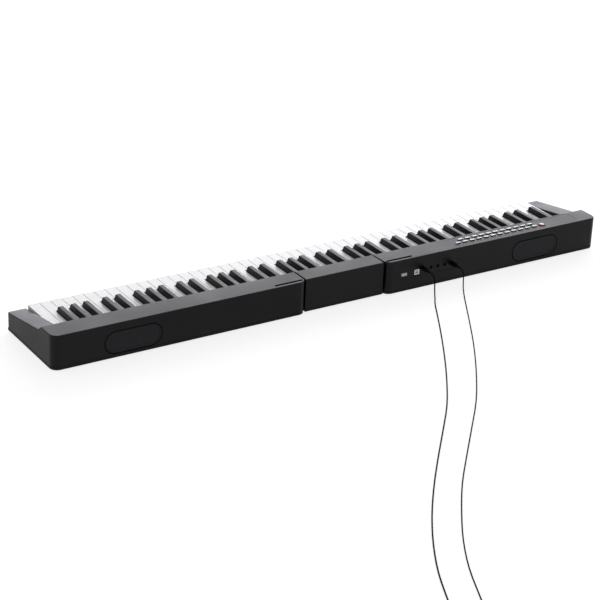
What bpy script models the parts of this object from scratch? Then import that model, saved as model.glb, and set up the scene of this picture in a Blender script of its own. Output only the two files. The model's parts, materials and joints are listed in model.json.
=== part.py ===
"""Folding 88-key digital piano: two keyboard halves joined by a hinge block.

The treble end points along +X, the player sits at -Y, and +Z is up.
The origin is the middle of the footprint on the table.
"""
import math

import bmesh
import bpy

MM = 0.001

# Whole instrument: its length follows from the keys, its depth from the key well and the strip
WHITE_PITCH = 23.5 * MM
CHEEK_WIDTH = 40.25 * MM
CHEEK_GAP = 0.75 * MM
KEY_WELL_DEPTH = 151.3 * MM
STRIP_DEPTH = 52.7 * MM
CASE_TOP = 73 * MM
WALL = 2.5 * MM
GAP = 0.3 * MM
CORNER_RADIUS = 16 * MM
CORNER_STEPS = 4
EDGE_RADIUS = 2 * MM
EDGE_STEPS = 2
ROUND_SIDES = 12

# Feet and trays
FOOT_HEIGHT = 2 * MM
FOOT_WIDTH = 10 * MM
FOOT_LENGTH = 460 * MM
FOOT_INSET = 22 * MM
TRAY_TOP = 8 * MM
TRAY_FLOOR = 2.5 * MM
TRAY_RAIL_TOP = 21 * MM
TRAY_RAIL_INSET = 1 * MM
RIB = 2 * MM
KEYBED_POCKETS = 4
STRIP_POCKETS = 4

# Keyboard
WHITE_GAP = 0.9 * MM
WHITE_TOP = 48 * MM
WHITE_SETBACK = 4 * MM
WHITE_SKIN = 2 * MM
KEY_WALL = 1.6 * MM
SKIRT_BOTTOM = 30 * MM
SHANK_BOTTOM = 34 * MM
KEY_REAR_GAP = 0.8 * MM
KEY_REAR_THICK = 1.8 * MM
KEY_REAR_SOLID = 8.5 * MM
BLACK_REVEAL = 97.3 * MM
BLACK_WIDTH = 13.7 * MM
BLACK_TOP_WIDTH = 9.8 * MM
BLACK_BOTTOM = 43 * MM
BLACK_TOP = 59.5 * MM
BLACK_FRONT_SLOPE = 6 * MM
BLACK_EDGE = 0.8 * MM
BLACK_CLEARANCE = 1 * MM
CDE_SPREAD = 2.35 * MM
FGAB_SPREAD = 3.36 * MM
HALVES_GAP = 1.5 * MM

# Bars that join the keys of a comb; each kind has its own distance from the keys' rear end
BAR_BOTTOM = 36 * MM
BAR_TOP = 40.6 * MM
BAR_DEPTH = 3 * MM
BAR_FROM_REAR = {"outer": 12.5 * MM, "inner": 19.5 * MM, "black": 26.5 * MM}
TOOTH_CLEARANCE = 0.8 * MM

# Cheeks beside the keys
CHEEK_FRONT_TOP = 40 * MM
CHEEK_RAMP_LENGTH = 16.3 * MM
CHEEK_RAMP_TOP = 61 * MM
CHEEK_CREASE_DROP = 1.5 * MM
CHEEK_EDGE = 3 * MM
LIP_BOTTOM = 30 * MM

# Screw bosses between top shells and trays
BOSS_INSET = 6.2 * MM
BOSS_RADIUS = 4 * MM
BOSS_SIDES = 8
SCREW_RADIUS = 1.3 * MM
SCREW_DEPTH = 16 * MM

# Hinge block between the halves
BLOCK_KEYS = 8
BLOCK_RECESS = 7.4 * MM
SEAM = 2 * MM
PIN_HEIGHT = 40 * MM
FOLDED_GAP = 3 * MM
PIN_RADIUS = 2.5 * MM
BUSH_WALL = 3.2 * MM
BUSH_LENGTH = 10 * MM
PLATE_THICK = 4.5 * MM
PLATE_BOSS = 4.8 * MM
PLATE_REACH = 27 * MM
PLATE_SHOULDER = 8 * MM
PLATE_FOOT = 26 * MM
PLATE_FOOT_THICK = 2.5 * MM
PLATE_SCREW = 2 * MM
SWEEP_CLEARANCE = 0.8 * MM
SWEEP_SIDES = 40
END_SKIN = 1.9 * MM

# Key frame
FRAME_SETBACK = 7 * MM
FRAME_RAIL = 5 * MM
FRAME_RAIL_TOP = 20 * MM
FRAME_BASE = 2.5 * MM
FRAME_REAR_RAIL = 3 * MM
FRAME_REAR_CLEARANCE = 0.45 * MM
WINDOW_COUNT = 5
WINDOW_WEB = 14 * MM
WINDOW_FRONT_INSET = 15 * MM
WINDOW_REAR_INSET = 36 * MM

# Music rest slots
SLOT_FROM_SEAM = 5 * MM
SLOT_LENGTH = 64 * MM
SLOT_WIDTH = 5.5 * MM
SLOT_REAR_LIP = 7.5 * MM
SLOT_DEPTH = 7 * MM

# Inserts in the rear wall: speaker grilles and socket panel
INSERT_DROP = 0.6 * MM
INSERT_LIP = 1.8 * MM
INSERT_LIP_THICK = 1.4 * MM
SPEAKER_FROM_END = 168.5 * MM
SPEAKER_ABOVE_TRAY = 2.9 * MM
GRILLE_LENGTH = 121 * MM
GRILLE_HEIGHT = 45 * MM
GRILLE_SLOT = 1.8 * MM
GRILLE_SLOTS = 8
GRILLE_BORDER = 3.5 * MM
GRILLE_RIB_DEPTH = 1.2 * MM

# Speaker driver behind a grille
DRIVER_FLANGE = 2 * MM
DRIVER_INSET = 4 * MM
BASKET_DEPTH = 13 * MM
MAGNET_RADIUS = 16 * MM
MAGNET_DEPTH = 9 * MM

# Sockets in the bass half, as distances from the seam beside the hinge block
SOCKET_NEAR = 36 * MM
SOCKET_FAR = 182 * MM
SOCKET_LOW = 29.5 * MM
SOCKET_HIGH = 52.5 * MM
SOCKET_CORNER = 3 * MM
HOST_PORT = {"x": 45.5 * MM, "z": 39.3 * MM, "width": 12.5 * MM, "height": 5.2 * MM, "depth": 14 * MM}
DEVICE_PORT = {"x": 77.2 * MM, "z": 38.8 * MM, "width": 8.5 * MM, "height": 7.8 * MM, "depth": 14 * MM}
PORT_WALL = 1.2 * MM
HOST_TONGUE = 1.8 * MM
DEVICE_TONGUE = 3.2 * MM
DC_X = 91 * MM
DC_Z = 45.5 * MM
DC_BARREL = 2.75 * MM
DC_BARREL_LENGTH = 9.5 * MM
JACK_X = 114 * MM
JACK_PITCH = 17.2 * MM
JACK_COUNT = 4
JACK_Z = 42 * MM
JACK_SHAFT = 3.15 * MM
JACK_LENGTH = 30 * MM
JACK_BLOCK = 13.6 * MM

# Control panel let into the strip of the bass half, placed from its end
PANEL_FROM_END = 47 * MM
PANEL_LENGTH = 326 * MM
PANEL_FRONT_MARGIN = 5.7 * MM
PANEL_REAR_MARGIN = 11 * MM
PANEL_CORNER = 5 * MM
PANEL_THICK = 1.2 * MM
PANEL_DROP = 0.2 * MM
BUTTON_LENGTH = 14 * MM
BUTTON_WIDTH = 5 * MM
BUTTON_PROUD = 1.8 * MM
BUTTON_ROUNDING = 3
BUTTON_PITCH = 18.5 * MM
BUTTON_TRAVEL = 0.8 * MM
BUTTON_ROWS = {"upper": {"from_end": 344.4 * MM, "depth_share": 0.325, "count": 11},
               "lower": {"from_end": 360.3 * MM, "depth_share": 0.706, "count": 12}}
WEB_THICK = 1.4 * MM
WEB_MARGIN = 2 * MM
POWER_FROM_END = 135.5 * MM
POWER_DEPTH_SHARE = 0.681
POWER_RADIUS = 8.2 * MM
POWER_FLANGE = 1.2 * MM
POWER_PROUD = 1.2 * MM
POWER_EDGE = 0.7 * MM
POWER_SIDES = 16
CONTACT_HEIGHT = 2.6 * MM
CONTACT_WIDTH = 5 * MM

# Circuit boards and battery
BOARD_THICK = 1.6 * MM
BOARD_MARGIN = 5 * MM
BOARD_BOSS_RADIUS = 2 * MM
BOARD_BOSS_SIDES = 6
BOARD_SETBACK = 10 * MM
MAIN_BOARD_DEPTH = 31 * MM
CHIP_SIZES = [14 * MM, 10 * MM]
CHIP_HEIGHT = 2 * MM
STANDOFF_RADIUS = 3 * MM
BATTERY_FROM_END = 299 * MM
BATTERY_LENGTH = 68 * MM
BATTERY_HEIGHT = 18.6 * MM
BATTERY_WIDTH = 37.2 * MM
BATTERY_SETBACK = 4.4 * MM
BATTERY_Z = 20 * MM
SADDLE_TOP = 16 * MM
SADDLE_WIDTH = 6 * MM
SADDLE_OFFSET = 22 * MM

# Plugs as stations in millimetres: distance from the plug's face, half width and half height
PLUG_SIDES = 12
DC_PLUG_STATIONS = [(0, 4.4, 4.4), (0.6, 5, 5), (15, 5, 5), (17, 3.4, 3.4), (28, 1.9, 1.9)]
JACK_PLUG_STATIONS = [(0, 4.6, 4.6), (0.6, 5.2, 5.2), (16, 5.2, 5.2), (18, 3.2, 3.2), (29, 1.7, 1.7)]
USB_PLUG_STATIONS = [(0, 6, 2.25), (12, 6, 2.25), (12, 7.2, 3.3), (13, 7.7, 3.75), (32, 7.7, 3.75),
                     (33, 3.2, 3), (42, 1.9, 1.9)]

# Leads: routes in millimetres from the plug to the coil, chosen by hand
DC_LEAD = 2.8 * MM
DC_ROUTE = [(-187.2, 136, 44.6), (-188.2, 141, 40.6), (-189, 143.2, 34.2), (-189.8, 143.6, 26.5),
            (-190.3, 143.6, 19), (-190.2, 144.6, 11.6), (-188.6, 147.6, 5.4), (-185.6, 152.6, 2),
            (-181.4, 159, 1.4), (-168.5, 177, 1.4), (-140, 224, 1.4), (-106, 281, 1.4), (-56, 362, 1.4),
            (10, 463, 1.4), (76, 555, 1.4), (146, 638, 1.4), (213, 716, 1.4), (275, 791, 1.4),
            (330, 863, 1.4), (378, 934, 1.4), (419, 1005, 1.4), (447, 1065, 1.4)]
DC_COIL = {"centre": (486.2, 1110.7), "enters": (0.425, 0.905), "turn": -1, "leaves": (1, 0)}
AUDIO_LEAD = 2.5 * MM
AUDIO_ROUTE = [(-261.7, 137, 41.4), (-262, 141.8, 37.6), (-262.3, 144, 31.4), (-262.6, 144.6, 24),
               (-262.8, 144.8, 17), (-262.2, 146.2, 10), (-260.2, 149.6, 4.5), (-257, 155, 1.7),
               (-252.8, 161.4, 1.25), (-242, 178, 1.25), (-208, 233, 1.25), (-173, 290, 1.25),
               (-122, 371, 1.25), (-53, 472, 1.25), (16, 564, 1.25), (89, 648, 1.25), (158, 726, 1.25),
               (222, 800, 1.25), (278, 874, 1.25), (327, 945, 1.25), (368, 1016, 1.25), (401, 1088, 1.25)]
AUDIO_COIL = {"centre": (411.4, 1149.5), "enters": (0.382, 0.924), "turn": 1, "leaves": (-1, 0)}
ROUTE_STEPS = 2
COIL_RADIUS_IN_LEADS = 5.5
COIL_LAYERS = 3
COIL_ACROSS = 2
COIL_SIDES = 20

# Worked out from the sizes above
HALF_REAR = (KEY_WELL_DEPTH + STRIP_DEPTH) / 2
STRIP_FRONT = HALF_REAR - STRIP_DEPTH
KEYBED_END = 26 * WHITE_PITCH
CHEEK_INNER = KEYBED_END + CHEEK_GAP
END_X = CHEEK_INNER + CHEEK_WIDTH
WHITE_FRONT = WHITE_SETBACK - HALF_REAR
KEY_REAR = STRIP_FRONT - KEY_REAR_GAP
KEY_CAVITY_REAR = KEY_REAR - KEY_REAR_SOLID
BLACK_FRONT = STRIP_FRONT - BLACK_REVEAL
FRAME_FRONT = WHITE_FRONT + FRAME_SETBACK
TRAY_RAIL_FRONT = WHITE_FRONT + TRAY_RAIL_INSET
INNER_END = HALVES_GAP / 2
CEILING = CASE_TOP - WALL
WALL_INSIDE = HALF_REAR - WALL
BOSS_Y = STRIP_FRONT + BOSS_INSET
BLOCK_HALF_WIDTH = BLOCK_KEYS / 2 * WHITE_PITCH
BLOCK_REAR = HALF_REAR - BLOCK_RECESS
STRIP_END = BLOCK_HALF_WIDTH + SEAM
PIN_OFFSET = CASE_TOP + FOLDED_GAP / 2 - PIN_HEIGHT
SWEEP_RADIUS = math.hypot(BLOCK_HALF_WIDTH - PIN_OFFSET, CASE_TOP - PIN_HEIGHT) + SWEEP_CLEARANCE
END_WALL_FAR = PIN_OFFSET + SWEEP_RADIUS + END_SKIN
INSERT_FACE = HALF_REAR - INSERT_DROP
INSERT_BACK = WALL_INSIDE - GAP - INSERT_LIP_THICK
SPEAKER_X = END_X - SPEAKER_FROM_END
SPEAKER_Z = TRAY_TOP + SPEAKER_ABOVE_TRAY + GRILLE_HEIGHT / 2
PANEL_FAR = END_X - PANEL_FROM_END
PANEL_NEAR = PANEL_FAR - PANEL_LENGTH
PANEL_FRONT = STRIP_FRONT + PANEL_FRONT_MARGIN
PANEL_REAR = HALF_REAR - PANEL_REAR_MARGIN
PANEL_BOTTOM = CASE_TOP - PANEL_DROP - PANEL_THICK
WEB_TOP = PANEL_BOTTOM - GAP
WEB_BOTTOM = WEB_TOP - WEB_THICK
POWER_PLACE = (POWER_FROM_END - END_X, PANEL_FRONT + POWER_DEPTH_SHARE * (PANEL_REAR - PANEL_FRONT))
BUTTON_BOARD_TOP = WEB_BOTTOM - BUTTON_TRAVEL - GAP - CONTACT_HEIGHT
BUTTON_BOARD_FAR = PANEL_FAR - PANEL_LENGTH / 5
MAIN_BOARD_TOP = DEVICE_PORT["z"] - DEVICE_PORT["height"] / 2 - PORT_WALL - GAP
MAIN_BOARD_REAR = HALF_REAR - BOARD_SETBACK
BATTERY_X = END_X - BATTERY_FROM_END
BATTERY_Y = HALF_REAR - BATTERY_SETBACK - BATTERY_WIDTH / 2
BOSS_PLACES = [END_WALL_FAR + 2 * BOSS_RADIUS, (STRIP_END + BATTERY_X) / 2,
               BATTERY_X + BATTERY_LENGTH / 2 + 3 * BOSS_RADIUS, CHEEK_INNER + CHEEK_WIDTH / 2]
LARGE = 500 * MM


def clear_scene():
    for item in list(bpy.data.objects):
        bpy.data.objects.remove(item, do_unlink=True)


def make_material(name, colour, roughness, metallic=0.0):
    material = bpy.data.materials.new(name)
    material.use_nodes = True
    shader = material.node_tree.nodes["Principled BSDF"]
    shader.inputs["Base Color"].default_value = (*colour, 1.0)
    shader.inputs["Roughness"].default_value = roughness
    shader.inputs["Metallic"].default_value = metallic
    return material


def add_object(name, bm, material=None, location=(0, 0, 0), smooth_angle=None):
    """Put a bmesh in the scene; its points are moved so that location is the object's origin."""
    bmesh.ops.recalc_face_normals(bm, faces=bm.faces)
    bmesh.ops.translate(bm, verts=bm.verts, vec=[-value for value in location])
    mesh = bpy.data.meshes.new(name)
    bm.to_mesh(mesh)
    bm.free()
    if material:
        mesh.materials.append(material)
    if smooth_angle:
        mesh.shade_smooth()
        mesh.set_sharp_from_angle(angle=math.radians(smooth_angle))
    item = bpy.data.objects.new(name, mesh)
    item.location = location
    bpy.context.collection.objects.link(item)
    return item


def add_rings(bm, rings):
    """Join rings of equally many points into one closed body, capped at both ends."""
    rows = [[bm.verts.new(point) for point in ring] for ring in rings]
    count = len(rows[0])
    for lower, upper in zip(rows, rows[1:]):
        for index in range(count):
            following = (index + 1) % count
            bm.faces.new((lower[index], lower[following], upper[following], upper[index]))
    bm.faces.new(list(reversed(rows[0])))
    bm.faces.new(rows[-1])


def add_prism(bm, outline, axis, low, high):
    """Extrude an outline along X, Y or Z. The outline lists the two other coordinates in order."""
    def place(point, along):
        first, second = point
        return {"x": (along, first, second), "y": (first, along, second), "z": (first, second, along)}[axis]

    add_rings(bm, [[place(point, along) for point in outline] for along in (low, high)])


def prism(outline, axis, low, high):
    bm = bmesh.new()
    add_prism(bm, outline, axis, low, high)
    return bm


def add_box(bm, x, y, z):
    add_prism(bm, [(x[0], y[0]), (x[1], y[0]), (x[1], y[1]), (x[0], y[1])], "z", *z)


def box(x, y, z):
    bm = bmesh.new()
    add_box(bm, x, y, z)
    return bm


def arc(centre, radius, start, end, steps):
    """Points on an arc, angles in degrees, both ends included."""
    points = []
    for step in range(steps + 1):
        angle = math.radians(start + (end - start) * step / steps)
        points.append((centre[0] + radius * math.cos(angle), centre[1] + radius * math.sin(angle)))
    return points


def circle(centre, radius, sides=ROUND_SIDES):
    return arc(centre, radius, 0, 360 * (sides - 1) / sides, sides - 1)


def rounded_rectangle(left, right, low, high, radius, steps=2):
    """Outline of a rectangle with round corners."""
    points = []
    for x, y, start in ((right - radius, high - radius, 0), (left + radius, high - radius, 90),
                        (left + radius, low + radius, 180), (right - radius, low + radius, 270)):
        points += arc((x, y), radius, start, start + 90, steps)
    return points


def stadium(centre, length, height, steps):
    """Outline of a slot with half-round ends."""
    radius = height / 2
    reach = length / 2 - radius
    return (arc((centre[0] + reach, centre[1]), radius, -90, 90, steps)
            + arc((centre[0] - reach, centre[1]), radius, 90, 270, steps))


def modify(item, operation, bm, label):
    """Join or cut an object with another shape, kept as a guide object."""
    guide = add_object(f"{item.name}_{label}", bm)
    guide.hide_render = True
    guide.display_type = "WIRE"
    modifier = item.modifiers.new(label, "BOOLEAN")
    modifier.operation = operation
    modifier.object = guide
    modifier.solver = "EXACT"
    return guide


def cut(item, bm, label):
    return modify(item, "DIFFERENCE", bm, label)


def join(item, bm, label):
    return modify(item, "UNION", bm, label)


def side_range(side, near, far):
    """Distances from the middle, mirrored to the bass side when side is -1."""
    return (near, far) if side > 0 else (-far, -near)


# Keys

def black_centre(boundary):
    """X of the black key over a white-key boundary, or None where there is none."""
    note = boundary % 7
    # Boundary 0 is E4|F4, so F starts at 0 and C starts at 4, both counted modulo 7.
    spread = {1: -FGAB_SPREAD, 2: 0.0, 3: FGAB_SPREAD, 5: -CDE_SPREAD, 6: CDE_SPREAD}
    if note not in spread or abs(boundary) >= 26:
        return None
    return boundary * WHITE_PITCH + spread[note]


def underside(y):
    """Height of a white key's lower edge, which tapers up to the thin rear tongue."""
    head_end = BLACK_FRONT - BLACK_CLEARANCE
    if y <= head_end:
        share = (y - WHITE_FRONT) / (head_end - WHITE_FRONT)
        return SKIRT_BOTTOM + share * (SHANK_BOTTOM - SKIRT_BOTTOM)
    share = (y - head_end) / (KEY_REAR - head_end)
    return SHANK_BOTTOM + share * (WHITE_TOP - KEY_REAR_THICK - SHANK_BOTTOM)


def white_sides(index):
    """Left and right edge of a white key's head and of its shank between the black keys."""
    head = (index * WHITE_PITCH + WHITE_GAP / 2, (index + 1) * WHITE_PITCH - WHITE_GAP / 2)
    if index == 0:
        head = (INNER_END, head[1])
    if index == -1:
        head = (head[0], -INNER_END)
    shank = list(head)
    left, right = black_centre(index), black_centre(index + 1)
    reach = BLACK_WIDTH / 2 + BLACK_CLEARANCE
    if left is not None:
        shank[0] = left + reach
    if right is not None:
        shank[1] = right - reach
    return head, shank


def white_outline(index, inset, rear):
    """Plan of a white key with every side moved inwards by inset, apart from its rear end."""
    head, shank = white_sides(index)
    head_end = BLACK_FRONT - BLACK_CLEARANCE - inset
    front = WHITE_FRONT + inset
    points = [(head[0] + inset, front), (head[1] - inset, front)]
    if shank[1] < head[1]:
        points += [(head[1] - inset, head_end), (shank[1] - inset, head_end)]
    points += [(shank[1] - inset, rear), (shank[0] + inset, rear)]
    if shank[0] > head[0]:
        points += [(shank[0] + inset, head_end), (head[0] + inset, head_end)]
    return points


def add_white_key(bm, index):
    """A moulded cap, open below, whose sides taper up to a thin tongue at the rear."""
    outer = white_outline(index, 0, KEY_REAR)
    inner = white_outline(index, KEY_WALL, KEY_CAVITY_REAR)
    add_rings(bm, [[(x, y, WHITE_TOP - WHITE_SKIN) for x, y in inner], [(x, y, underside(y)) for x, y in inner],
                   [(x, y, underside(y)) for x, y in outer], [(x, y, WHITE_TOP) for x, y in outer]])


def add_black_key(bm, centre):
    """A tapered hollow cap with a sloping front and bevelled top."""
    def ring(half_width, front, rear, z):
        return [(centre + sx * half_width, y, z) for sx, y in ((-1, front), (1, front), (1, rear), (-1, rear))]

    top_front = BLACK_FRONT + BLACK_FRONT_SLOPE
    add_rings(bm, [
        ring(BLACK_TOP_WIDTH / 2 - KEY_WALL, top_front + KEY_WALL, KEY_REAR - KEY_WALL, BLACK_TOP - WHITE_SKIN),
        ring(BLACK_WIDTH / 2 - KEY_WALL, BLACK_FRONT + KEY_WALL, KEY_REAR - KEY_WALL, BLACK_BOTTOM),
        ring(BLACK_WIDTH / 2, BLACK_FRONT, KEY_REAR, BLACK_BOTTOM),
        ring(BLACK_TOP_WIDTH / 2 + BLACK_EDGE / 3, top_front - BLACK_EDGE / 3, KEY_REAR, BLACK_TOP - BLACK_EDGE),
        ring(BLACK_TOP_WIDTH / 2 - BLACK_EDGE, top_front + BLACK_EDGE, KEY_REAR, BLACK_TOP)])


def comb_bar(spans, kind):
    """The moulded bar under a comb of keys: one profile with a tooth up into each key's hollow."""
    tooth_top = (BLACK_TOP if kind == "black" else WHITE_TOP) - WHITE_SKIN / 2
    first, last = spans[0], spans[-1]
    outline = [(first[0], BAR_BOTTOM), (last[1], BAR_BOTTOM)]
    for span in reversed(spans):
        if span is not last:
            outline.append((span[1], BAR_TOP))
        outline += [(span[1], tooth_top), (span[0], tooth_top)]
        if span is not first:
            outline.append((span[0], BAR_TOP))
    front = KEY_REAR - BAR_FROM_REAR[kind]
    return prism(outline, "y", front, front + BAR_DEPTH)


def make_white_comb(name, indices, kind, material):
    bm = bmesh.new()
    spans = []
    inset = KEY_WALL + TOOTH_CLEARANCE
    for index in indices:
        add_white_key(bm, index)
        shank = white_sides(index)[1]
        spans.append((shank[0] + inset, shank[1] - inset))
    middle = (indices[0] + indices[-1] + 1) / 2 * WHITE_PITCH
    item = add_object(name, bm, material, (middle, KEY_REAR, WHITE_TOP - KEY_REAR_THICK / 2))
    join(item, comb_bar(spans, kind), "bar")
    return item


def make_black_comb(name, boundaries, material):
    bm = bmesh.new()
    spans = []
    reach = BLACK_TOP_WIDTH / 2 - KEY_WALL - TOOTH_CLEARANCE
    for boundary in boundaries:
        centre = black_centre(boundary)
        add_black_key(bm, centre)
        spans.append((centre - reach, centre + reach))
    middle = (boundaries[0] + boundaries[-1]) / 2 * WHITE_PITCH
    item = add_object(name, bm, material, (middle, KEY_REAR, WHITE_TOP - KEY_REAR_THICK / 2))
    join(item, comb_bar(spans, "black"), "bar")
    return item


def make_keys(ivory, ebony):
    """White slots count from the middle; C of octave n starts at 7 * n - 31.

    The lowest three keys join the combs of octave 1, and the highest one those of octave 7.
    """
    for octave in (1, 2, 3, 5, 6, 7):
        c = 7 * octave - 31
        outer = [c, c + 2, c + 4, c + 6]
        inner = [c + 1, c + 3, c + 5]
        blacks = [c + 1, c + 2, c + 4, c + 5, c + 6]
        if octave == 1:
            outer.insert(0, c - 1)
            inner.insert(0, c - 2)
            blacks.insert(0, c - 1)
        if octave == 7:
            outer.append(c + 7)
        make_white_comb(f"keys_c_e_g_b_{octave}", outer, "outer", ivory)
        make_white_comb(f"keys_d_f_a_{octave}", inner, "inner", ivory)
        make_black_comb(f"keys_black_{octave}", blacks, ebony)
    make_white_comb("keys_c4_e4", [-3, -1], "outer", ivory)
    make_white_comb("keys_d4", [-2], "inner", ivory)
    make_black_comb("keys_black_4_low", [-2, -1], ebony)
    make_white_comb("keys_f4_a4", [0, 2], "outer", ivory)
    make_white_comb("keys_g4_b4", [1, 3], "inner", ivory)
    make_black_comb("keys_black_4_high", [1, 2, 3], ebony)


# Casing of one half; side is +1 for the treble half and -1 for the bass half

def housing_plan(side, near, far, front, rear, radius):
    """Outline from above with the two rear corners rounded."""
    points = [(near, front), (far, front)]
    points += arc((far - radius, rear - radius), radius, 0, 90, CORNER_STEPS)
    points += arc((near + radius, rear - radius), radius, 90, 180, CORNER_STEPS)
    return [(side * x, y) for x, y in points]


def rounded_top(plan_at, low, high):
    """Rings of a block with a rounded top edge; plan_at gives its outline at an inset."""
    rings = [[(x, y, low) for x, y in plan_at(0)]]
    for step in range(EDGE_STEPS + 1):
        angle = math.radians(90 * step / EDGE_STEPS)
        z = high - EDGE_RADIUS + EDGE_RADIUS * math.sin(angle)
        rings.append([(x, y, z) for x, y in plan_at(EDGE_RADIUS * (1 - math.cos(angle)))])
    return rings


def cheek_profile(inset, low, rear):
    """Side view of a cheek with its front and its top lowered by inset."""
    front = inset - HALF_REAR
    crease = CASE_TOP - CHEEK_CREASE_DROP - inset
    return [(front, low), (rear, low), (rear, crease), (STRIP_FRONT, crease),
            (STRIP_FRONT - CHEEK_RAMP_LENGTH, CHEEK_RAMP_TOP - inset), (front, CHEEK_FRONT_TOP - inset)]


def add_cheek(bm, side):
    """The end block beside the keys, with rounded long edges."""
    edge = [(CHEEK_EDGE * (1 - math.cos(angle)), CHEEK_EDGE * (1 - math.sin(angle)))
            for angle in (math.radians(90 * step / EDGE_STEPS) for step in range(EDGE_STEPS + 1))]
    stations = [(CHEEK_INNER + across, drop) for across, drop in edge]
    stations += [(END_X - across, drop) for across, drop in reversed(edge)]
    add_rings(bm, [[(side * x, y, z) for y, z in cheek_profile(drop, TRAY_TOP, STRIP_FRONT + WALL)]
                   for x, drop in stations])


def sweep_cutter(side):
    """Space that the hinge block's end needs in the half while it turns."""
    outline = circle((side * PIN_OFFSET, PIN_HEIGHT), SWEEP_RADIUS, SWEEP_SIDES)
    return prism(outline, "y", STRIP_FRONT - WALL, BLOCK_REAR + GAP)


def grille_outline(side, grow):
    return stadium((side * SPEAKER_X, SPEAKER_Z), GRILLE_LENGTH + 2 * grow, GRILLE_HEIGHT + 2 * grow, 5)


def socket_outline(grow):
    return rounded_rectangle(-STRIP_END - SOCKET_FAR - grow, -STRIP_END - SOCKET_NEAR + grow, SOCKET_LOW - grow,
                             SOCKET_HIGH + grow, SOCKET_CORNER + grow)


def panel_outline(grow):
    return rounded_rectangle(-PANEL_FAR - grow, -PANEL_NEAR + grow, PANEL_FRONT - grow, PANEL_REAR + grow,
                             PANEL_CORNER + grow)


def button_centres(row):
    values = BUTTON_ROWS[row]
    y = PANEL_FRONT + values["depth_share"] * (PANEL_REAR - PANEL_FRONT)
    return [(values["from_end"] - END_X - index * BUTTON_PITCH, y) for index in range(values["count"])]


def row_outline(row, reach_x, reach_y, corner):
    """Plan of a strip round one row of button centres."""
    centres = button_centres(row)
    y = centres[0][1]
    return rounded_rectangle(centres[-1][0] - reach_x, centres[0][0] + reach_x, y - reach_y, y + reach_y, corner, 1)


def web_outline(row, grow):
    """Plan of the strip that carries one row of buttons."""
    return row_outline(row, BUTTON_LENGTH / 2 + WEB_MARGIN + grow, BUTTON_WIDTH / 2 + WEB_MARGIN + grow, WEB_MARGIN)


def board_boss_places():
    """Where the button board hangs from the strip: its rear corners and between the button rows."""
    between = (button_centres("upper")[0][1] + button_centres("lower")[0][1]) / 2
    near, far = PANEL_NEAR + BOARD_MARGIN, BUTTON_BOARD_FAR - BOARD_MARGIN
    rear = PANEL_REAR - BOARD_BOSS_RADIUS
    return [(-near, rear), (-far, rear), (-(near + far) / 2, between), (-far, between)]


def add_panel_seat(item):
    """Let the control panel into the strip, with a window under each row of buttons."""
    cut(item, prism(panel_outline(GAP), "z", PANEL_BOTTOM - GAP, CASE_TOP + WALL), "panel_recess")
    windows = bmesh.new()
    for row in BUTTON_ROWS:
        add_prism(windows, web_outline(row, GAP), "z", CEILING - WALL, CASE_TOP)
    flange = circle(POWER_PLACE, POWER_RADIUS + POWER_FLANGE + GAP, POWER_SIDES)
    add_prism(windows, flange, "z", CEILING - WALL, CASE_TOP)
    cut(item, windows, "button_windows")
    bosses = bmesh.new()
    for place in board_boss_places():
        boss = circle(place, BOARD_BOSS_RADIUS, BOARD_BOSS_SIDES)
        add_prism(bosses, boss, "z", BUTTON_BOARD_TOP + GAP, CEILING + GAP)
    join(item, bosses, "board_bosses")


def make_top_shell(name, side, material):
    def plan(inset):
        return housing_plan(side, STRIP_END + inset, END_X - inset, STRIP_FRONT + inset, HALF_REAR - inset,
                            CORNER_RADIUS - inset)

    bm = bmesh.new()
    add_rings(bm, rounded_top(plan, TRAY_TOP, CASE_TOP))
    item = add_object(name, bm, material)
    cheek = bmesh.new()
    add_cheek(cheek, side)
    join(item, cheek, "cheek")
    inside = housing_plan(side, END_WALL_FAR, END_X - WALL, STRIP_FRONT + WALL, WALL_INSIDE, CORNER_RADIUS - WALL)
    cut(item, prism(inside, "z", TRAY_TOP - LARGE, CEILING), "inside")
    hollow = cheek_profile(WALL, TRAY_TOP - WALL, STRIP_FRONT + 2 * WALL)
    cut(item, prism(hollow, "x", *side_range(side, CHEEK_INNER + WALL, END_X - WALL)), "cheek_inside")
    under_lip = box(side_range(side, END_WALL_FAR, CHEEK_INNER - WALL),
                    (STRIP_FRONT - WALL, STRIP_FRONT + 2 * WALL), (TRAY_TOP - WALL, LIP_BOTTOM))
    cut(item, under_lip, "under_lip")
    cut(item, sweep_cutter(side), "hinge_sweep")
    slot_start, slot_rear = STRIP_END + SLOT_FROM_SEAM, HALF_REAR - SLOT_REAR_LIP
    cut(item, box(side_range(side, slot_start, slot_start + SLOT_LENGTH), (slot_rear - SLOT_WIDTH, slot_rear),
                  (CASE_TOP - SLOT_DEPTH, CASE_TOP + WALL)), "rest_slot")
    cut(item, prism(grille_outline(side, GAP), "y", WALL_INSIDE - WALL, HALF_REAR + WALL), "speaker_window")
    bosses, screw_holes = bmesh.new(), bmesh.new()
    for distance in BOSS_PLACES:
        place = (side * distance, BOSS_Y)
        add_prism(bosses, circle(place, BOSS_RADIUS, BOSS_SIDES), "z", TRAY_TOP, CEILING + GAP)
        add_prism(screw_holes, circle(place, SCREW_RADIUS, BOSS_SIDES), "z", TRAY_TOP - WALL, TRAY_TOP + SCREW_DEPTH)
    join(item, bosses, "screw_bosses")
    cut(item, screw_holes, "screw_holes")
    if side < 0:
        cut(item, prism(socket_outline(GAP), "y", WALL_INSIDE - WALL, HALF_REAR + WALL), "socket_window")
        add_panel_seat(item)
    return item


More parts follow.
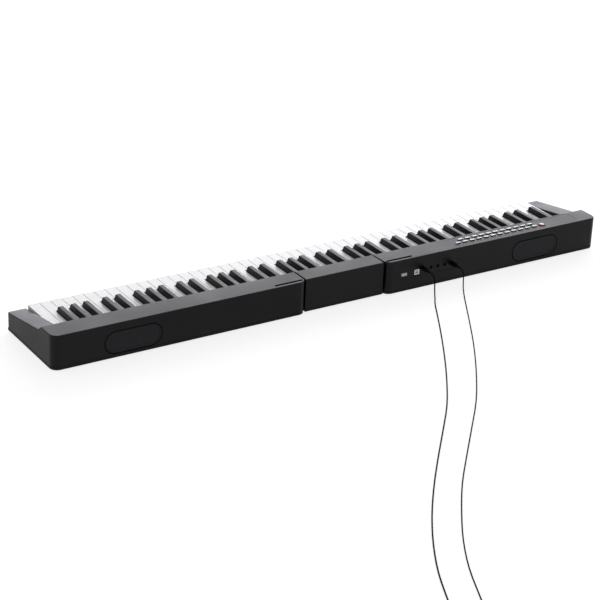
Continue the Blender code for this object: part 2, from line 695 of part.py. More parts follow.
def tray_plan(side):
    plan = [(INNER_END, TRAY_RAIL_FRONT), (KEYBED_END, TRAY_RAIL_FRONT), (KEYBED_END, -HALF_REAR),
            (END_X, -HALF_REAR)]
    plan += arc((END_X - CORNER_RADIUS, HALF_REAR - CORNER_RADIUS), CORNER_RADIUS, 0, 90, CORNER_STEPS)
    plan += arc((STRIP_END + CORNER_RADIUS, HALF_REAR - CORNER_RADIUS), CORNER_RADIUS, 90, 180, CORNER_STEPS)
    plan += [(STRIP_END, KEY_REAR), (INNER_END, KEY_REAR)]
    return [(side * x, y) for x, y in plan]


def tray_pockets(side):
    """The cells between the ribs that stiffen a tray."""
    bm = bmesh.new()
    bays = [(INNER_END + WALL + RIB, KEYBED_END - RIB, TRAY_RAIL_FRONT + WALL + RIB, KEY_REAR - RIB, KEYBED_POCKETS),
            (END_WALL_FAR, END_X - CORNER_RADIUS, STRIP_FRONT + WALL, HALF_REAR - CORNER_RADIUS, STRIP_POCKETS),
            (KEYBED_END + RIB, END_X - WALL, WALL - HALF_REAR, KEY_REAR - RIB, 1)]
    for near, far, front, rear, count in bays:
        pitch = (far - near + RIB) / count
        for index in range(count):
            start = near + index * pitch
            add_box(bm, side_range(side, start, start + pitch - RIB), (front, rear),
                    (FOOT_HEIGHT + TRAY_FLOOR, TRAY_TOP + WALL))
    return bm


def main_board_places():
    """Corners of the main board's four standoffs."""
    xs = (STRIP_END + SOCKET_NEAR + BOARD_MARGIN, STRIP_END + SOCKET_FAR - BOARD_MARGIN)
    ys = (MAIN_BOARD_REAR - MAIN_BOARD_DEPTH + STANDOFF_RADIUS, MAIN_BOARD_REAR - STANDOFF_RADIUS)
    return [(-x, y) for x in xs for y in ys]


def battery_outline(grow):
    return stadium((BATTERY_Y, BATTERY_Z), BATTERY_WIDTH + 2 * grow, BATTERY_HEIGHT + 2 * grow, 6)


def add_board_standoffs(item, floor):
    standoffs = bmesh.new()
    for place in main_board_places():
        standoff = circle(place, STANDOFF_RADIUS, BOSS_SIDES)
        add_prism(standoffs, standoff, "z", floor, MAIN_BOARD_TOP - BOARD_THICK - GAP)
    join(item, standoffs, "board_standoffs")


def add_battery_saddles(item, floor):
    saddles = bmesh.new()
    reach = BATTERY_WIDTH / 2 + WALL / 2
    for offset in (-SADDLE_OFFSET, SADDLE_OFFSET):
        middle = BATTERY_X + offset
        add_box(saddles, (middle - SADDLE_WIDTH / 2, middle + SADDLE_WIDTH / 2),
                (BATTERY_Y - reach, BATTERY_Y + reach), (floor, SADDLE_TOP))
    join(item, saddles, "battery_saddles")
    half = BATTERY_LENGTH / 2
    cut(item, prism(battery_outline(GAP), "x", BATTERY_X - half, BATTERY_X + half), "battery_seat")


def make_tray(name, side, material):
    tray_rim = TRAY_TOP - GAP
    item = add_object(name, prism(tray_plan(side), "z", FOOT_HEIGHT, tray_rim), material)
    cut(item, tray_pockets(side), "pockets")
    floor = FOOT_HEIGHT + TRAY_FLOOR / 2
    rail = box(side_range(side, INNER_END, KEYBED_END), (TRAY_RAIL_FRONT, TRAY_RAIL_FRONT + WALL),
               (floor, TRAY_RAIL_TOP))
    join(item, rail, "front_rail")
    end_wall = box(side_range(side, INNER_END, INNER_END + WALL), (TRAY_RAIL_FRONT + WALL / 2, KEY_REAR),
                   (floor, TRAY_RAIL_TOP))
    join(item, end_wall, "end_wall")
    bosses = bmesh.new()
    for distance in BOSS_PLACES:
        add_prism(bosses, circle((side * distance, BOSS_Y), BOSS_RADIUS, BOSS_SIDES), "z", floor, tray_rim)
    join(item, bosses, "screw_bosses")
    if side < 0:
        add_board_standoffs(item, floor)
    else:
        add_battery_saddles(item, floor)
    return item


def make_foot(name, side, y, material):
    """A long rubber strip under one half."""
    outline = stadium((side * (STRIP_END + END_X) / 2, y), FOOT_LENGTH, FOOT_WIDTH, 3)
    return add_object(name, prism(outline, "z", 0, FOOT_HEIGHT - GAP), material, smooth_angle=40)


# Key frame and fold hinge

def rear_rail_outline(side):
    """Front view of the rear rail: high under the white keys' tongues, low under the black keys."""
    left, right = side_range(side, INNER_END + WALL + GAP, KEYBED_END)
    high = underside(KEY_REAR - GAP - FRAME_REAR_RAIL) - FRAME_REAR_CLEARANCE
    low = BLACK_BOTTOM - FRAME_REAR_CLEARANCE
    outline = [(right, TRAY_TOP), (right, high)]
    reach = BLACK_WIDTH / 2 + BLACK_CLEARANCE / 2
    boundaries = range(1, 26) if side > 0 else range(-25, 0)
    for boundary in reversed(boundaries):
        centre = black_centre(boundary)
        if centre is not None:
            outline += [(centre + reach, high), (centre + reach, low), (centre - reach, low), (centre - reach, high)]
    return outline + [(left, high), (left, TRAY_TOP)]


def make_key_frame(name, side, material):
    """Base plate with windows, a stop rail in front and a castellated rest rail behind."""
    near = INNER_END + WALL + GAP
    ends = side_range(side, near, KEYBED_END)
    rear = KEY_REAR - GAP
    item = add_object(name, box(ends, (FRAME_FRONT, rear), (TRAY_TOP, TRAY_TOP + FRAME_BASE)), material)
    windows = bmesh.new()
    start = PIN_OFFSET + PLATE_REACH + WINDOW_WEB
    pitch = (KEYBED_END - start) / WINDOW_COUNT
    for index in range(WINDOW_COUNT):
        left = start + index * pitch
        add_box(windows, side_range(side, left, left + pitch - WINDOW_WEB),
                (FRAME_FRONT + WINDOW_FRONT_INSET, KEY_REAR - WINDOW_REAR_INSET),
                (TRAY_TOP - WALL, TRAY_TOP + 2 * FRAME_BASE))
    cut(item, windows, "windows")
    stop_rail = box(ends, (FRAME_FRONT, FRAME_FRONT + FRAME_RAIL), (TRAY_TOP + FRAME_BASE / 2, FRAME_RAIL_TOP))
    join(item, stop_rail, "stop_rail")
    join(item, prism(rear_rail_outline(side), "y", rear - FRAME_REAR_RAIL, rear), "rear_rail")
    reach = PIN_OFFSET + PLATE_REACH + GAP
    cut(item, box(side_range(side, 0, reach), (rear - 2 * FRAME_REAR_RAIL, KEY_REAR + WALL),
                  (TRAY_TOP + FRAME_BASE, CASE_TOP)), "plate_seat")
    return item


def make_hinge_plate(name, side, material):
    """Steel bracket that carries the hinge pin under the white keys' tongues."""
    foot = TRAY_TOP + FRAME_BASE + GAP
    left, right = PIN_OFFSET - PLATE_REACH, PIN_OFFSET + PLATE_REACH
    shoulder = PIN_HEIGHT - PLATE_SHOULDER
    outline = [(left, foot), (right, foot), (right, shoulder)]
    outline += arc((PIN_OFFSET, PIN_HEIGHT), PLATE_BOSS, 0, 180, 8)
    outline += [(left, shoulder)]
    outline = [(side * x, z) for x, z in outline]
    rear = KEY_REAR - GAP
    item = add_object(name, prism(outline, "y", rear - PLATE_THICK, rear), material)
    join(item, box(side_range(side, left, right), (rear - PLATE_FOOT, rear - PLATE_THICK / 2),
                   (foot, foot + PLATE_FOOT_THICK)), "foot")
    holes = bmesh.new()
    add_prism(holes, circle((side * PIN_OFFSET, PIN_HEIGHT), PIN_RADIUS + GAP), "y", 0, LARGE)
    for x in (left + PLATE_REACH / 3, right - PLATE_REACH / 3):
        screw = circle((side * x, rear - PLATE_FOOT + 3 * PLATE_SCREW), PLATE_SCREW, BOSS_SIDES)
        add_prism(holes, screw, "z", foot - PLATE_FOOT_THICK, foot + 2 * PLATE_FOOT_THICK)
    cut(item, holes, "holes")
    return item


def make_hinge_pin(name, side, material):
    start = KEY_REAR - GAP - PLATE_THICK
    outline = circle((side * PIN_OFFSET, PIN_HEIGHT), PIN_RADIUS)
    return add_object(name, prism(outline, "y", start, BLOCK_REAR - WALL - GAP), material,
                      (side * PIN_OFFSET, 0, PIN_HEIGHT), smooth_angle=40)


def block_plan(inset):
    reach = BLOCK_HALF_WIDTH - inset
    front, rear = STRIP_FRONT + inset, BLOCK_REAR - inset
    return [(-reach, front), (reach, front), (reach, rear), (-reach, rear)]


def make_hinge_block(cover_material, base_material):
    """Cover with a bush at each end of both pins, and the base that closes it."""
    bm = bmesh.new()
    add_rings(bm, rounded_top(block_plan, TRAY_TOP, CASE_TOP))
    cover = add_object("hinge_block_cover", bm, cover_material)
    cut(cover, prism(block_plan(WALL), "z", TRAY_TOP - WALL, CEILING), "inside")
    bushes, bores = bmesh.new(), bmesh.new()
    front, rear = STRIP_FRONT + WALL / 2, BLOCK_REAR - WALL / 2
    for side in (-1, 1):
        bush = circle((side * PIN_OFFSET, PIN_HEIGHT), PIN_RADIUS + GAP + BUSH_WALL)
        add_prism(bushes, bush, "y", front, front + BUSH_LENGTH)
        add_prism(bushes, bush, "y", rear - BUSH_LENGTH, rear)
        bore = circle((side * PIN_OFFSET, PIN_HEIGHT), PIN_RADIUS + GAP)
        add_prism(bores, bore, "y", STRIP_FRONT - WALL, BLOCK_REAR - WALL)
    join(cover, bushes, "bushes")
    cut(cover, bores, "pin_bores")
    base = add_object("hinge_block_base", prism(block_plan(0), "z", FOOT_HEIGHT, TRAY_TOP - GAP), base_material)
    cut(base, prism(block_plan(WALL), "z", FOOT_HEIGHT + TRAY_FLOOR, TRAY_TOP), "pocket")


# Sound and electronics

def seated_insert(name, outline_at, material):
    """A plate let into the rear wall, with a lip all round behind the wall."""
    item = add_object(name, prism(outline_at(0), "y", INSERT_BACK, INSERT_FACE), material)
    join(item, prism(outline_at(INSERT_LIP), "y", INSERT_BACK, WALL_INSIDE - GAP), "lip")
    return item


def make_grille(name, side, material):
    """Slotted speaker grille with an upright rib behind the middle of its bars."""
    item = seated_insert(name, lambda grow: grille_outline(side, grow), material)
    slots = bmesh.new()
    radius = GRILLE_HEIGHT / 2 - GRILLE_BORDER
    pitch = 2 * radius / GRILLE_SLOTS
    for index in range(GRILLE_SLOTS):
        offset = (index - (GRILLE_SLOTS - 1) / 2) * pitch
        length = GRILLE_LENGTH - GRILLE_HEIGHT + 2 * math.sqrt(radius ** 2 - offset ** 2)
        add_prism(slots, stadium((side * SPEAKER_X, SPEAKER_Z + offset), length, GRILLE_SLOT, 2), "y",
                  INSERT_BACK - WALL, INSERT_FACE + WALL)
    cut(item, slots, "slots")
    rib = box((side * SPEAKER_X - GRILLE_SLOT / 2, side * SPEAKER_X + GRILLE_SLOT / 2),
              (INSERT_BACK, INSERT_BACK + GRILLE_RIB_DEPTH), (SPEAKER_Z - radius, SPEAKER_Z + radius))
    join(item, rib, "rib")
    return item


def make_speaker(name, side, material):
    """Oval driver: magnet, basket, flange and the cone that faces the grille."""
    front = INSERT_BACK - GAP
    flange = front - DRIVER_FLANGE
    rear = flange - BASKET_DEPTH
    magnet = 2 * MAGNET_RADIUS
    rim = (GRILLE_LENGTH, GRILLE_HEIGHT)
    basket = (GRILLE_LENGTH - 4 * DRIVER_INSET, GRILLE_HEIGHT - 2 * DRIVER_INSET)
    cone = (basket[0] - DRIVER_INSET, basket[1] - DRIVER_INSET)
    stations = [(rear - MAGNET_DEPTH, magnet, magnet), (rear, magnet, magnet), (flange, *basket), (flange, *rim),
                (front, *rim), (front, *cone), (rear + 2 * DRIVER_FLANGE, magnet * 0.8, magnet * 0.6),
                (rear + 3 * DRIVER_FLANGE, magnet * 0.4, magnet * 0.3)]
    bm = bmesh.new()
    add_rings(bm, [[(x, y, z) for x, z in stadium((side * SPEAKER_X, SPEAKER_Z), length, height, 3)]
                   for y, length, height in stations])
    return add_object(name, bm, material, smooth_angle=40)


def jack_centres():
    return [(-STRIP_END - JACK_X - index * JACK_PITCH, JACK_Z) for index in range(JACK_COUNT)]


def port_box(port, grow):
    """Limits of a port's mouth in X and Z."""
    middle = -STRIP_END - port["x"]
    half_width, half_height = port["width"] / 2 + grow, port["height"] / 2 + grow
    return (middle - half_width, middle + half_width), (port["z"] - half_height, port["z"] + half_height)


def make_socket_panel(name, material):
    """Panel with two data ports, the DC inlet and four jacks, with their blocks behind it."""
    item = seated_insert(name, socket_outline, material)
    blocks, mouths, tongues = bmesh.new(), bmesh.new(), bmesh.new()
    back = INSERT_BACK + INSERT_LIP_THICK / 2
    for port, tongue in ((HOST_PORT, HOST_TONGUE), (DEVICE_PORT, DEVICE_TONGUE)):
        x, z = port_box(port, PORT_WALL)
        add_box(blocks, x, (INSERT_FACE - port["depth"] - PORT_WALL, back), z)
        x, z = port_box(port, 0)
        add_box(mouths, x, (INSERT_FACE - port["depth"], INSERT_FACE + WALL), z)
        add_box(tongues, (x[0] + 2 * PORT_WALL, x[1] - 2 * PORT_WALL),
                (INSERT_FACE - port["depth"] - PORT_WALL / 2, INSERT_FACE - PORT_WALL),
                (port["z"] - tongue / 2, port["z"] + tongue / 2))
    dc_x = -STRIP_END - DC_X
    inlet_depth = DC_BARREL_LENGTH + WALL
    inlet_reach = DC_BARREL + GAP + PORT_WALL
    add_box(blocks, (dc_x - inlet_reach, dc_x + inlet_reach), (INSERT_FACE - inlet_depth - PORT_WALL, back),
            (DC_Z - inlet_reach, DC_Z + inlet_reach))
    add_prism(mouths, circle((dc_x, DC_Z), DC_BARREL + GAP), "y", INSERT_FACE - inlet_depth, HALF_REAR + WALL)
    jack_depth = JACK_LENGTH + WALL
    for x, z in jack_centres():
        add_box(blocks, (x - JACK_BLOCK / 2, x + JACK_BLOCK / 2), (INSERT_FACE - jack_depth - PORT_WALL, back),
                (z - JACK_BLOCK / 2, z + JACK_BLOCK / 2))
        add_prism(mouths, circle((x, z), JACK_SHAFT + GAP), "y", INSERT_FACE - jack_depth, HALF_REAR + WALL)
    join(item, blocks, "socket_blocks")
    cut(item, mouths, "socket_mouths")
    join(item, tongues, "tongues")
    return item


def make_control_panel(name, material):
    item = add_object(name, prism(panel_outline(0), "z", PANEL_BOTTOM, CASE_TOP - PANEL_DROP), material)
    holes = bmesh.new()
    for row in BUTTON_ROWS:
        for centre in button_centres(row):
            hole = stadium(centre, BUTTON_LENGTH + 2 * GAP, BUTTON_WIDTH + 2 * GAP, BUTTON_ROUNDING)
            add_prism(holes, hole, "z", PANEL_BOTTOM - WALL, CASE_TOP + WALL)
    add_prism(holes, circle(POWER_PLACE, POWER_RADIUS + GAP, POWER_SIDES), "z", PANEL_BOTTOM - WALL, CASE_TOP + WALL)
    cut(item, holes, "button_holes")
    return item


def make_keypad(name, row, material):
    """One row of oblong buttons on a common strip."""
    item = add_object(name, prism(web_outline(row, 0), "z", WEB_BOTTOM, WEB_TOP), material)
    buttons = bmesh.new()
    for centre in button_centres(row):
        add_prism(buttons, stadium(centre, BUTTON_LENGTH, BUTTON_WIDTH, BUTTON_ROUNDING), "z",
                  WEB_TOP - WEB_THICK / 2, CASE_TOP + BUTTON_PROUD)
    join(item, buttons, "buttons")
    return item


def make_power_button(name, material):
    top = CASE_TOP + POWER_PROUD
    flange = POWER_RADIUS + POWER_FLANGE
    bm = bmesh.new()
    add_rings(bm, [[(x, y, z) for x, y in circle(POWER_PLACE, radius, POWER_SIDES)] for radius, z in (
        (flange, WEB_BOTTOM), (flange, WEB_TOP), (POWER_RADIUS, WEB_TOP), (POWER_RADIUS, top - POWER_EDGE),
        (POWER_RADIUS - POWER_EDGE, top))])
    return add_object(name, bm, material, (*POWER_PLACE, WEB_BOTTOM), smooth_angle=40)


def make_button_board(name, material):
    """Board with one contact strip under each row of buttons and a switch under the power button."""
    item = add_object(name, box((-BUTTON_BOARD_FAR, -PANEL_NEAR), (PANEL_FRONT + BOARD_MARGIN, PANEL_REAR),
                                (BUTTON_BOARD_TOP - BOARD_THICK, BUTTON_BOARD_TOP)), material)
    contacts = bmesh.new()
    low, high = BUTTON_BOARD_TOP - BOARD_THICK / 2, BUTTON_BOARD_TOP + CONTACT_HEIGHT
    reach = CONTACT_WIDTH / 2
    for row in BUTTON_ROWS:
        add_prism(contacts, row_outline(row, BUTTON_LENGTH / 2, reach, reach / 2), "z", low, high)
    x, y = POWER_PLACE
    add_box(contacts, (x - reach, x + reach), (y - reach, y + reach), (low, high))
    join(item, contacts, "contacts")
    return item


def make_main_board(name, material):
    """Board under the socket blocks, on four standoffs of the tray."""
    near, far = STRIP_END + SOCKET_NEAR, STRIP_END + SOCKET_FAR
    bottom = MAIN_BOARD_TOP - BOARD_THICK
    front = MAIN_BOARD_REAR - MAIN_BOARD_DEPTH
    item = add_object(name, box((-far, -near), (front, MAIN_BOARD_REAR), (bottom, MAIN_BOARD_TOP)), material)
    chips = bmesh.new()
    for index, size in enumerate(CHIP_SIZES):
        x = -near - (index + 1) * (far - near) / (len(CHIP_SIZES) + 1)
        y = (front + MAIN_BOARD_REAR) / 2
        add_box(chips, (x - size / 2, x + size / 2), (y - size / 2, y + size / 2),
                (bottom - CHIP_HEIGHT, bottom + BOARD_THICK / 2))
    join(item, chips, "chips")
    return item


def make_battery(name, material):
    reach = BATTERY_LENGTH / 2 - GAP
    return add_object(name, prism(battery_outline(0), "x", BATTERY_X - reach, BATTERY_X + reach), material,
                      smooth_angle=40)


# Leads

def plug_section(half_width, half_height, flat):
    """Cross-section of a plug: round, or a rectangle with cut corners."""
    if not flat:
        return [(half_width * math.cos(angle), half_height * math.sin(angle))
                for angle in (2 * math.pi * step / PLUG_SIDES for step in range(PLUG_SIDES))]
    chamfer = min(half_width, half_height) / 3
    return [(half_width, chamfer - half_height), (half_width, half_height - chamfer),
            (half_width - chamfer, half_height), (chamfer - half_width, half_height),
            (-half_width, half_height - chamfer), (-half_width, chamfer - half_height),
            (chamfer - half_width, -half_height), (half_width - chamfer, -half_height)]


def make_plug(name, face, heading, stations, material, flat=False):
    """A plug along a level heading, from its face to the end of its strain relief."""
    bm = bmesh.new()
    rings = []
    for distance, half_width, half_height in stations:
        x, y = face[0] + heading[0] * distance, face[1] + heading[1] * distance
        rings.append([(x + heading[1] * across, y - heading[0] * across, face[2] + up)
                      for across, up in plug_section(half_width, half_height, flat)])
    add_rings(bm, rings)
    return add_object(name, bm, material, smooth_angle=40)


def in_metres(stations):
    return [(distance * MM, width * MM, height * MM) for distance, width, height in stations]


def tip_stations(length, radius):
    """Stations of a plug's contact, which points back from the face."""
    return [(-length, radius / 2, radius / 2), (radius - length, radius, radius), (0, radius, radius)]


def coil_sizes(diameter):
    """Radius of the middle of a coil and of its outermost turn, and the solid's outer radius."""
    middle = COIL_RADIUS_IN_LEADS * diameter
    outer = middle + COIL_ACROSS / 2 * diameter
    return middle, outer - diameter / 2, outer


def tangent_point(coil, heading, diameter):
    """Where the outermost turn runs along a heading."""
    radius = coil_sizes(diameter)[1]
    towards = (-heading[1] * coil["turn"], heading[0] * coil["turn"])
    return tuple(centre * MM - share * radius for centre, share in zip(coil["centre"], towards))


def clear_of_coil(diameter, half_width):
    """How far from the tangent point a straight piece of this half width is clear of the coil."""
    _, turn, outer = coil_sizes(diameter)
    return math.sqrt(outer ** 2 - (turn - half_width) ** 2) + GAP


def slope_at(points, index):
    """Direction of a smooth curve at one of its own points, weighted by the distances either side."""
    if index in (0, len(points) - 1):
        start, end = points[max(index - 1, 0)], points[min(index + 1, len(points) - 1)]
        length = math.dist(start, end)
        return [(b - a) / length for a, b in zip(start, end)]
    before, here, after = points[index - 1:index + 2]
    behind, ahead = math.dist(before, here), math.dist(here, after)
    return [((c - b) / ahead * behind + (b - a) / behind * ahead) / (ahead + behind)
            for a, b, c in zip(before, here, after)]


def smooth_route(points):
    """Points along a smooth curve through the route's own points, closer together above the table."""
    route = []
    for index in range(len(points) - 1):
        start, end = points[index], points[index + 1]
        steps = 1 if start[2] == end[2] == points[-1][2] else ROUTE_STEPS
        length = math.dist(start, end)
        leaving, arriving = slope_at(points, index), slope_at(points, index + 1)
        for step in range(steps):
            t = step / steps
            weights = (2 * t ** 3 - 3 * t ** 2 + 1, (t ** 3 - 2 * t ** 2 + t) * length,
                       3 * t ** 2 - 2 * t ** 3, (t ** 3 - t ** 2) * length)
            x, y, z = (sum(weight * value for weight, value in zip(weights, values))
                       for values in zip(start, leaving, end, arriving))
            route.append((x, y, max(z, points[-1][2])))
    return route + [points[-1]]


def make_lead(name, exit_point, route, coil, diameter, material):
    """A round lead from a plug's strain relief to the side of its coil."""
    rest = diameter / 2
    entry = tangent_point(coil, coil["enters"], diameter)
    reach = clear_of_coil(diameter, rest)
    ends = [(*(value - share * distance for value, share in zip(entry, coil["enters"])), rest)
            for distance in (reach + 4 * diameter, reach)]
    start = [exit_point, (exit_point[0], exit_point[1] + diameter, exit_point[2])]
    points = smooth_route(start + [tuple(value * MM for value in point) for point in route] + ends)
    curve = bpy.data.curves.new(name, "CURVE")
    curve.dimensions = "3D"
    curve.bevel_depth = rest
    curve.bevel_resolution = 2
    curve.use_fill_caps = True
    curve.materials.append(material)
    spline = curve.splines.new("POLY")
    spline.points.add(len(points) - 1)
    for place, point in zip(spline.points, points):
        place.co = (*point, 1)
    item = bpy.data.objects.new(name, curve)
    bpy.context.collection.objects.link(item)
    return item


def make_coil(name, coil, diameter, material):
    """The outer shape of the wound-up rest of a lead."""
    middle, _, outer = coil_sizes(diameter)
    inner = 2 * middle - outer
    height = COIL_LAYERS * diameter
    bm = bmesh.new()
    rows = []
    for x, y in circle((0, 0), 1, COIL_SIDES):
        rows.append([bm.verts.new((coil["centre"][0] * MM + x * radius, coil["centre"][1] * MM + y * radius, z))
                     for radius, z in ((inner, 0), (outer, 0), (outer, height), (inner, height))])
    for index, row in enumerate(rows):
        following = rows[(index + 1) % len(rows)]
        for corner in range(4):
            after = (corner + 1) % 4
            bm.faces.new((row[corner], row[after], following[after], following[corner]))
    return add_object(name, bm, material, smooth_angle=40)


def make_far_plug(name, coil, diameter, stations, material, flat=False):
    """The plug at the wound end of a lead, lying beside the coil and pointing away from it."""
    heading = coil["leaves"]
    length, relief, _ = stations[-1]
    start = tangent_point(coil, heading, diameter)
    distance = clear_of_coil(diameter, relief) + length
    face = tuple(value + share * distance for value, share in zip(start, heading))
    lift = max(height for _, _, height in stations)
    back = tuple(-share for share in heading)
    return make_plug(name, (*face, lift), back, stations, material, flat)


def make_leads(material):
    face_y = INSERT_FACE + GAP
    dc_stations = in_metres(DC_PLUG_STATIONS)
    dc_face = (-STRIP_END - DC_X, face_y, DC_Z)
    make_plug("dc_plug", dc_face, (0, 1), tip_stations(DC_BARREL_LENGTH, DC_BARREL) + dc_stations, material)
    dc_exit = (dc_face[0], face_y + dc_stations[-1][0] + GAP, DC_Z)
    make_lead("dc_lead", dc_exit, DC_ROUTE, DC_COIL, DC_LEAD, material)
    make_coil("dc_coil", DC_COIL, DC_LEAD, material)
    make_far_plug("dc_far_plug", DC_COIL, DC_LEAD, in_metres(USB_PLUG_STATIONS), material, flat=True)
    jack_stations = tip_stations(JACK_LENGTH, JACK_SHAFT) + in_metres(JACK_PLUG_STATIONS)
    jack_x, jack_z = jack_centres()[-1]
    make_plug("audio_plug", (jack_x, face_y, jack_z), (0, 1), jack_stations, material)
    audio_exit = (jack_x, face_y + jack_stations[-1][0] + GAP, jack_z)
    make_lead("audio_lead", audio_exit, AUDIO_ROUTE, AUDIO_COIL, AUDIO_LEAD, material)
    make_coil("audio_coil", AUDIO_COIL, AUDIO_LEAD, material)
    make_far_plug("audio_far_plug", AUDIO_COIL, AUDIO_LEAD, jack_stations, material)


def main():
    clear_scene()
    shell = make_material("black_abs", (0.045, 0.045, 0.048), 0.5)
    tray = make_material("tray_abs", (0.02, 0.02, 0.02), 0.6)
    ivory = make_material("ivory_abs", (0.85, 0.85, 0.83), 0.3)
    ebony = make_material("ebony_abs", (0.02, 0.02, 0.02), 0.35)
    frame = make_material("frame_abs", (0.08, 0.08, 0.08), 0.6)
    steel = make_material("zinc_steel", (0.55, 0.55, 0.56), 0.35, 1.0)
    rubber = make_material("foot_rubber", (0.03, 0.03, 0.03), 0.8)
    grille = make_material("grille_abs", (0.03, 0.03, 0.032), 0.5)
    cone = make_material("cone_paper", (0.03, 0.03, 0.03), 0.8)
    panel = make_material("panel_film", (0.05, 0.05, 0.055), 0.35)
    button = make_material("button_silicone", (0.7, 0.7, 0.72), 0.4)
    power = make_material("power_abs", (0.4, 0.03, 0.04), 0.3)
    circuit = make_material("circuit_laminate", (0.02, 0.12, 0.05), 0.4)
    wrap = make_material("battery_wrap", (0.05, 0.1, 0.3), 0.3)
    jacket = make_material("lead_pvc", (0.02, 0.02, 0.02), 0.5)
    make_keys(ivory, ebony)
    for half, side in (("bass", -1), ("treble", 1)):
        make_top_shell(f"{half}_top_shell", side, shell)
        make_tray(f"{half}_bottom_tray", side, tray)
        make_foot(f"{half}_front_foot", side, FOOT_INSET - HALF_REAR, rubber)
        make_foot(f"{half}_rear_foot", side, HALF_REAR - FOOT_INSET, rubber)
        make_key_frame(f"{half}_key_frame", side, frame)
        make_hinge_plate(f"{half}_hinge_plate", side, steel)
        make_hinge_pin(f"{half}_hinge_pin", side, steel)
        make_grille(f"{half}_speaker_grille", side, grille)
        make_speaker(f"{half}_speaker", side, cone)
    make_hinge_block(shell, tray)
    make_socket_panel("socket_panel", grille)
    make_control_panel("control_panel", panel)
    for row in BUTTON_ROWS:
        make_keypad(f"keypad_{row}_row", row, button)
    make_power_button("power_button", power)
    make_button_board("button_board", circuit)
    make_main_board("main_board", circuit)
    make_battery("battery_pack", wrap)
    make_leads(jacket)


main()
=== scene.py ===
# %% [markdown]
# # A folding digital piano, seen from behind
# The solid parts arrive as a fixed frame, in metres, with +X towards the treble end, the player at -Y
# and +Z up. This lesson lays the two leads, gives every part its finish, adds the small trim that is
# too fine for the solids, and lights the studio.

# %% Load the frame
import json
import math

import bmesh
import bpy
from mathutils import Matrix, Vector


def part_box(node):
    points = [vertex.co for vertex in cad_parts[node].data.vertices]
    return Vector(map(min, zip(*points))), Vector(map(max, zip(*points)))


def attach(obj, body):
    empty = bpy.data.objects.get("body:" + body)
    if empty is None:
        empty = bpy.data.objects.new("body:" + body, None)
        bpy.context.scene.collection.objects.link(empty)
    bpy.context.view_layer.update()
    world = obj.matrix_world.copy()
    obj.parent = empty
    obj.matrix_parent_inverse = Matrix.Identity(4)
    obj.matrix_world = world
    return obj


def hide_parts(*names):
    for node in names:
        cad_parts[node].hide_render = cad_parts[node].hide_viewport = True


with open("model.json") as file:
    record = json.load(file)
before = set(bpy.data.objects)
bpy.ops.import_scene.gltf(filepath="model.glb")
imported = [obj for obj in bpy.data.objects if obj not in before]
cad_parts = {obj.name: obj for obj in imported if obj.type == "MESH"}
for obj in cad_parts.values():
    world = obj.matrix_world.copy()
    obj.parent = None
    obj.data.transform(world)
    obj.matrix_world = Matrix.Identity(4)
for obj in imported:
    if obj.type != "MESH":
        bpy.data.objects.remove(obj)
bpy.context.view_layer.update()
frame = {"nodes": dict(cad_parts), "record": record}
nodes = frame["nodes"]
MM = 0.001

# %% [markdown]
# ## The camera
# A catalogue picture of a long object is taken from far away with a long lens, so that the near end
# doesn't swell. The heading, tilt and roll come from the slopes of the case's long and short edges.

# %% Camera
IMAGE_SIZE = 600
SENSOR_WIDTH_MM = 36.0
FOCAL_LENGTH_PX = 1879.6
CAMERA_PLACE = (1.9640, 2.9638, 1.5947)
CAMERA_HEADING = math.radians(212.912)
CAMERA_TILT = math.radians(24.583)
CAMERA_ROLL = math.radians(2.342)


def camera_axes(heading, tilt, roll):
    forward = Vector((math.cos(tilt) * math.sin(heading), math.cos(tilt) * math.cos(heading), -math.sin(tilt)))
    right = forward.cross(Vector((0, 0, 1))).normalized()
    up = right.cross(forward)
    rolled_right = math.cos(roll) * right + math.sin(roll) * up
    rolled_up = math.cos(roll) * up - math.sin(roll) * right
    return rolled_right, rolled_up, forward


def add_camera():
    data = bpy.data.cameras.new("catalogue_camera")
    data.sensor_width = SENSOR_WIDTH_MM
    data.lens = FOCAL_LENGTH_PX * SENSOR_WIDTH_MM / IMAGE_SIZE
    camera = bpy.data.objects.new("catalogue_camera", data)
    bpy.context.collection.objects.link(camera)
    right, up, forward = camera_axes(CAMERA_HEADING, CAMERA_TILT, CAMERA_ROLL)
    rotation = Matrix((right, up, -forward)).transposed()
    camera.matrix_world = Matrix.Translation(CAMERA_PLACE) @ rotation.to_4x4()
    bpy.context.scene.camera = camera
    return camera


add_camera()
print("camera with a lens of", round(bpy.context.scene.camera.data.lens, 1), "mm")

# %% [markdown]
# ## The two leads
# A power lead and an audio lead leave the sockets, bend down under their own weight, lie on the table
# in one long slow curve, and end in a tied coil. Listed points are joined by a smooth curve
# whose slope at each point leans towards the nearer neighbour, which keeps it from overshooting.

# %% Routes of the leads
COIL_RADIUS_IN_LEADS = 5.5
COIL_POINTS_PER_TURN = 24
WHOLE_TURNS = 5
MOVE_ANGLE = 45

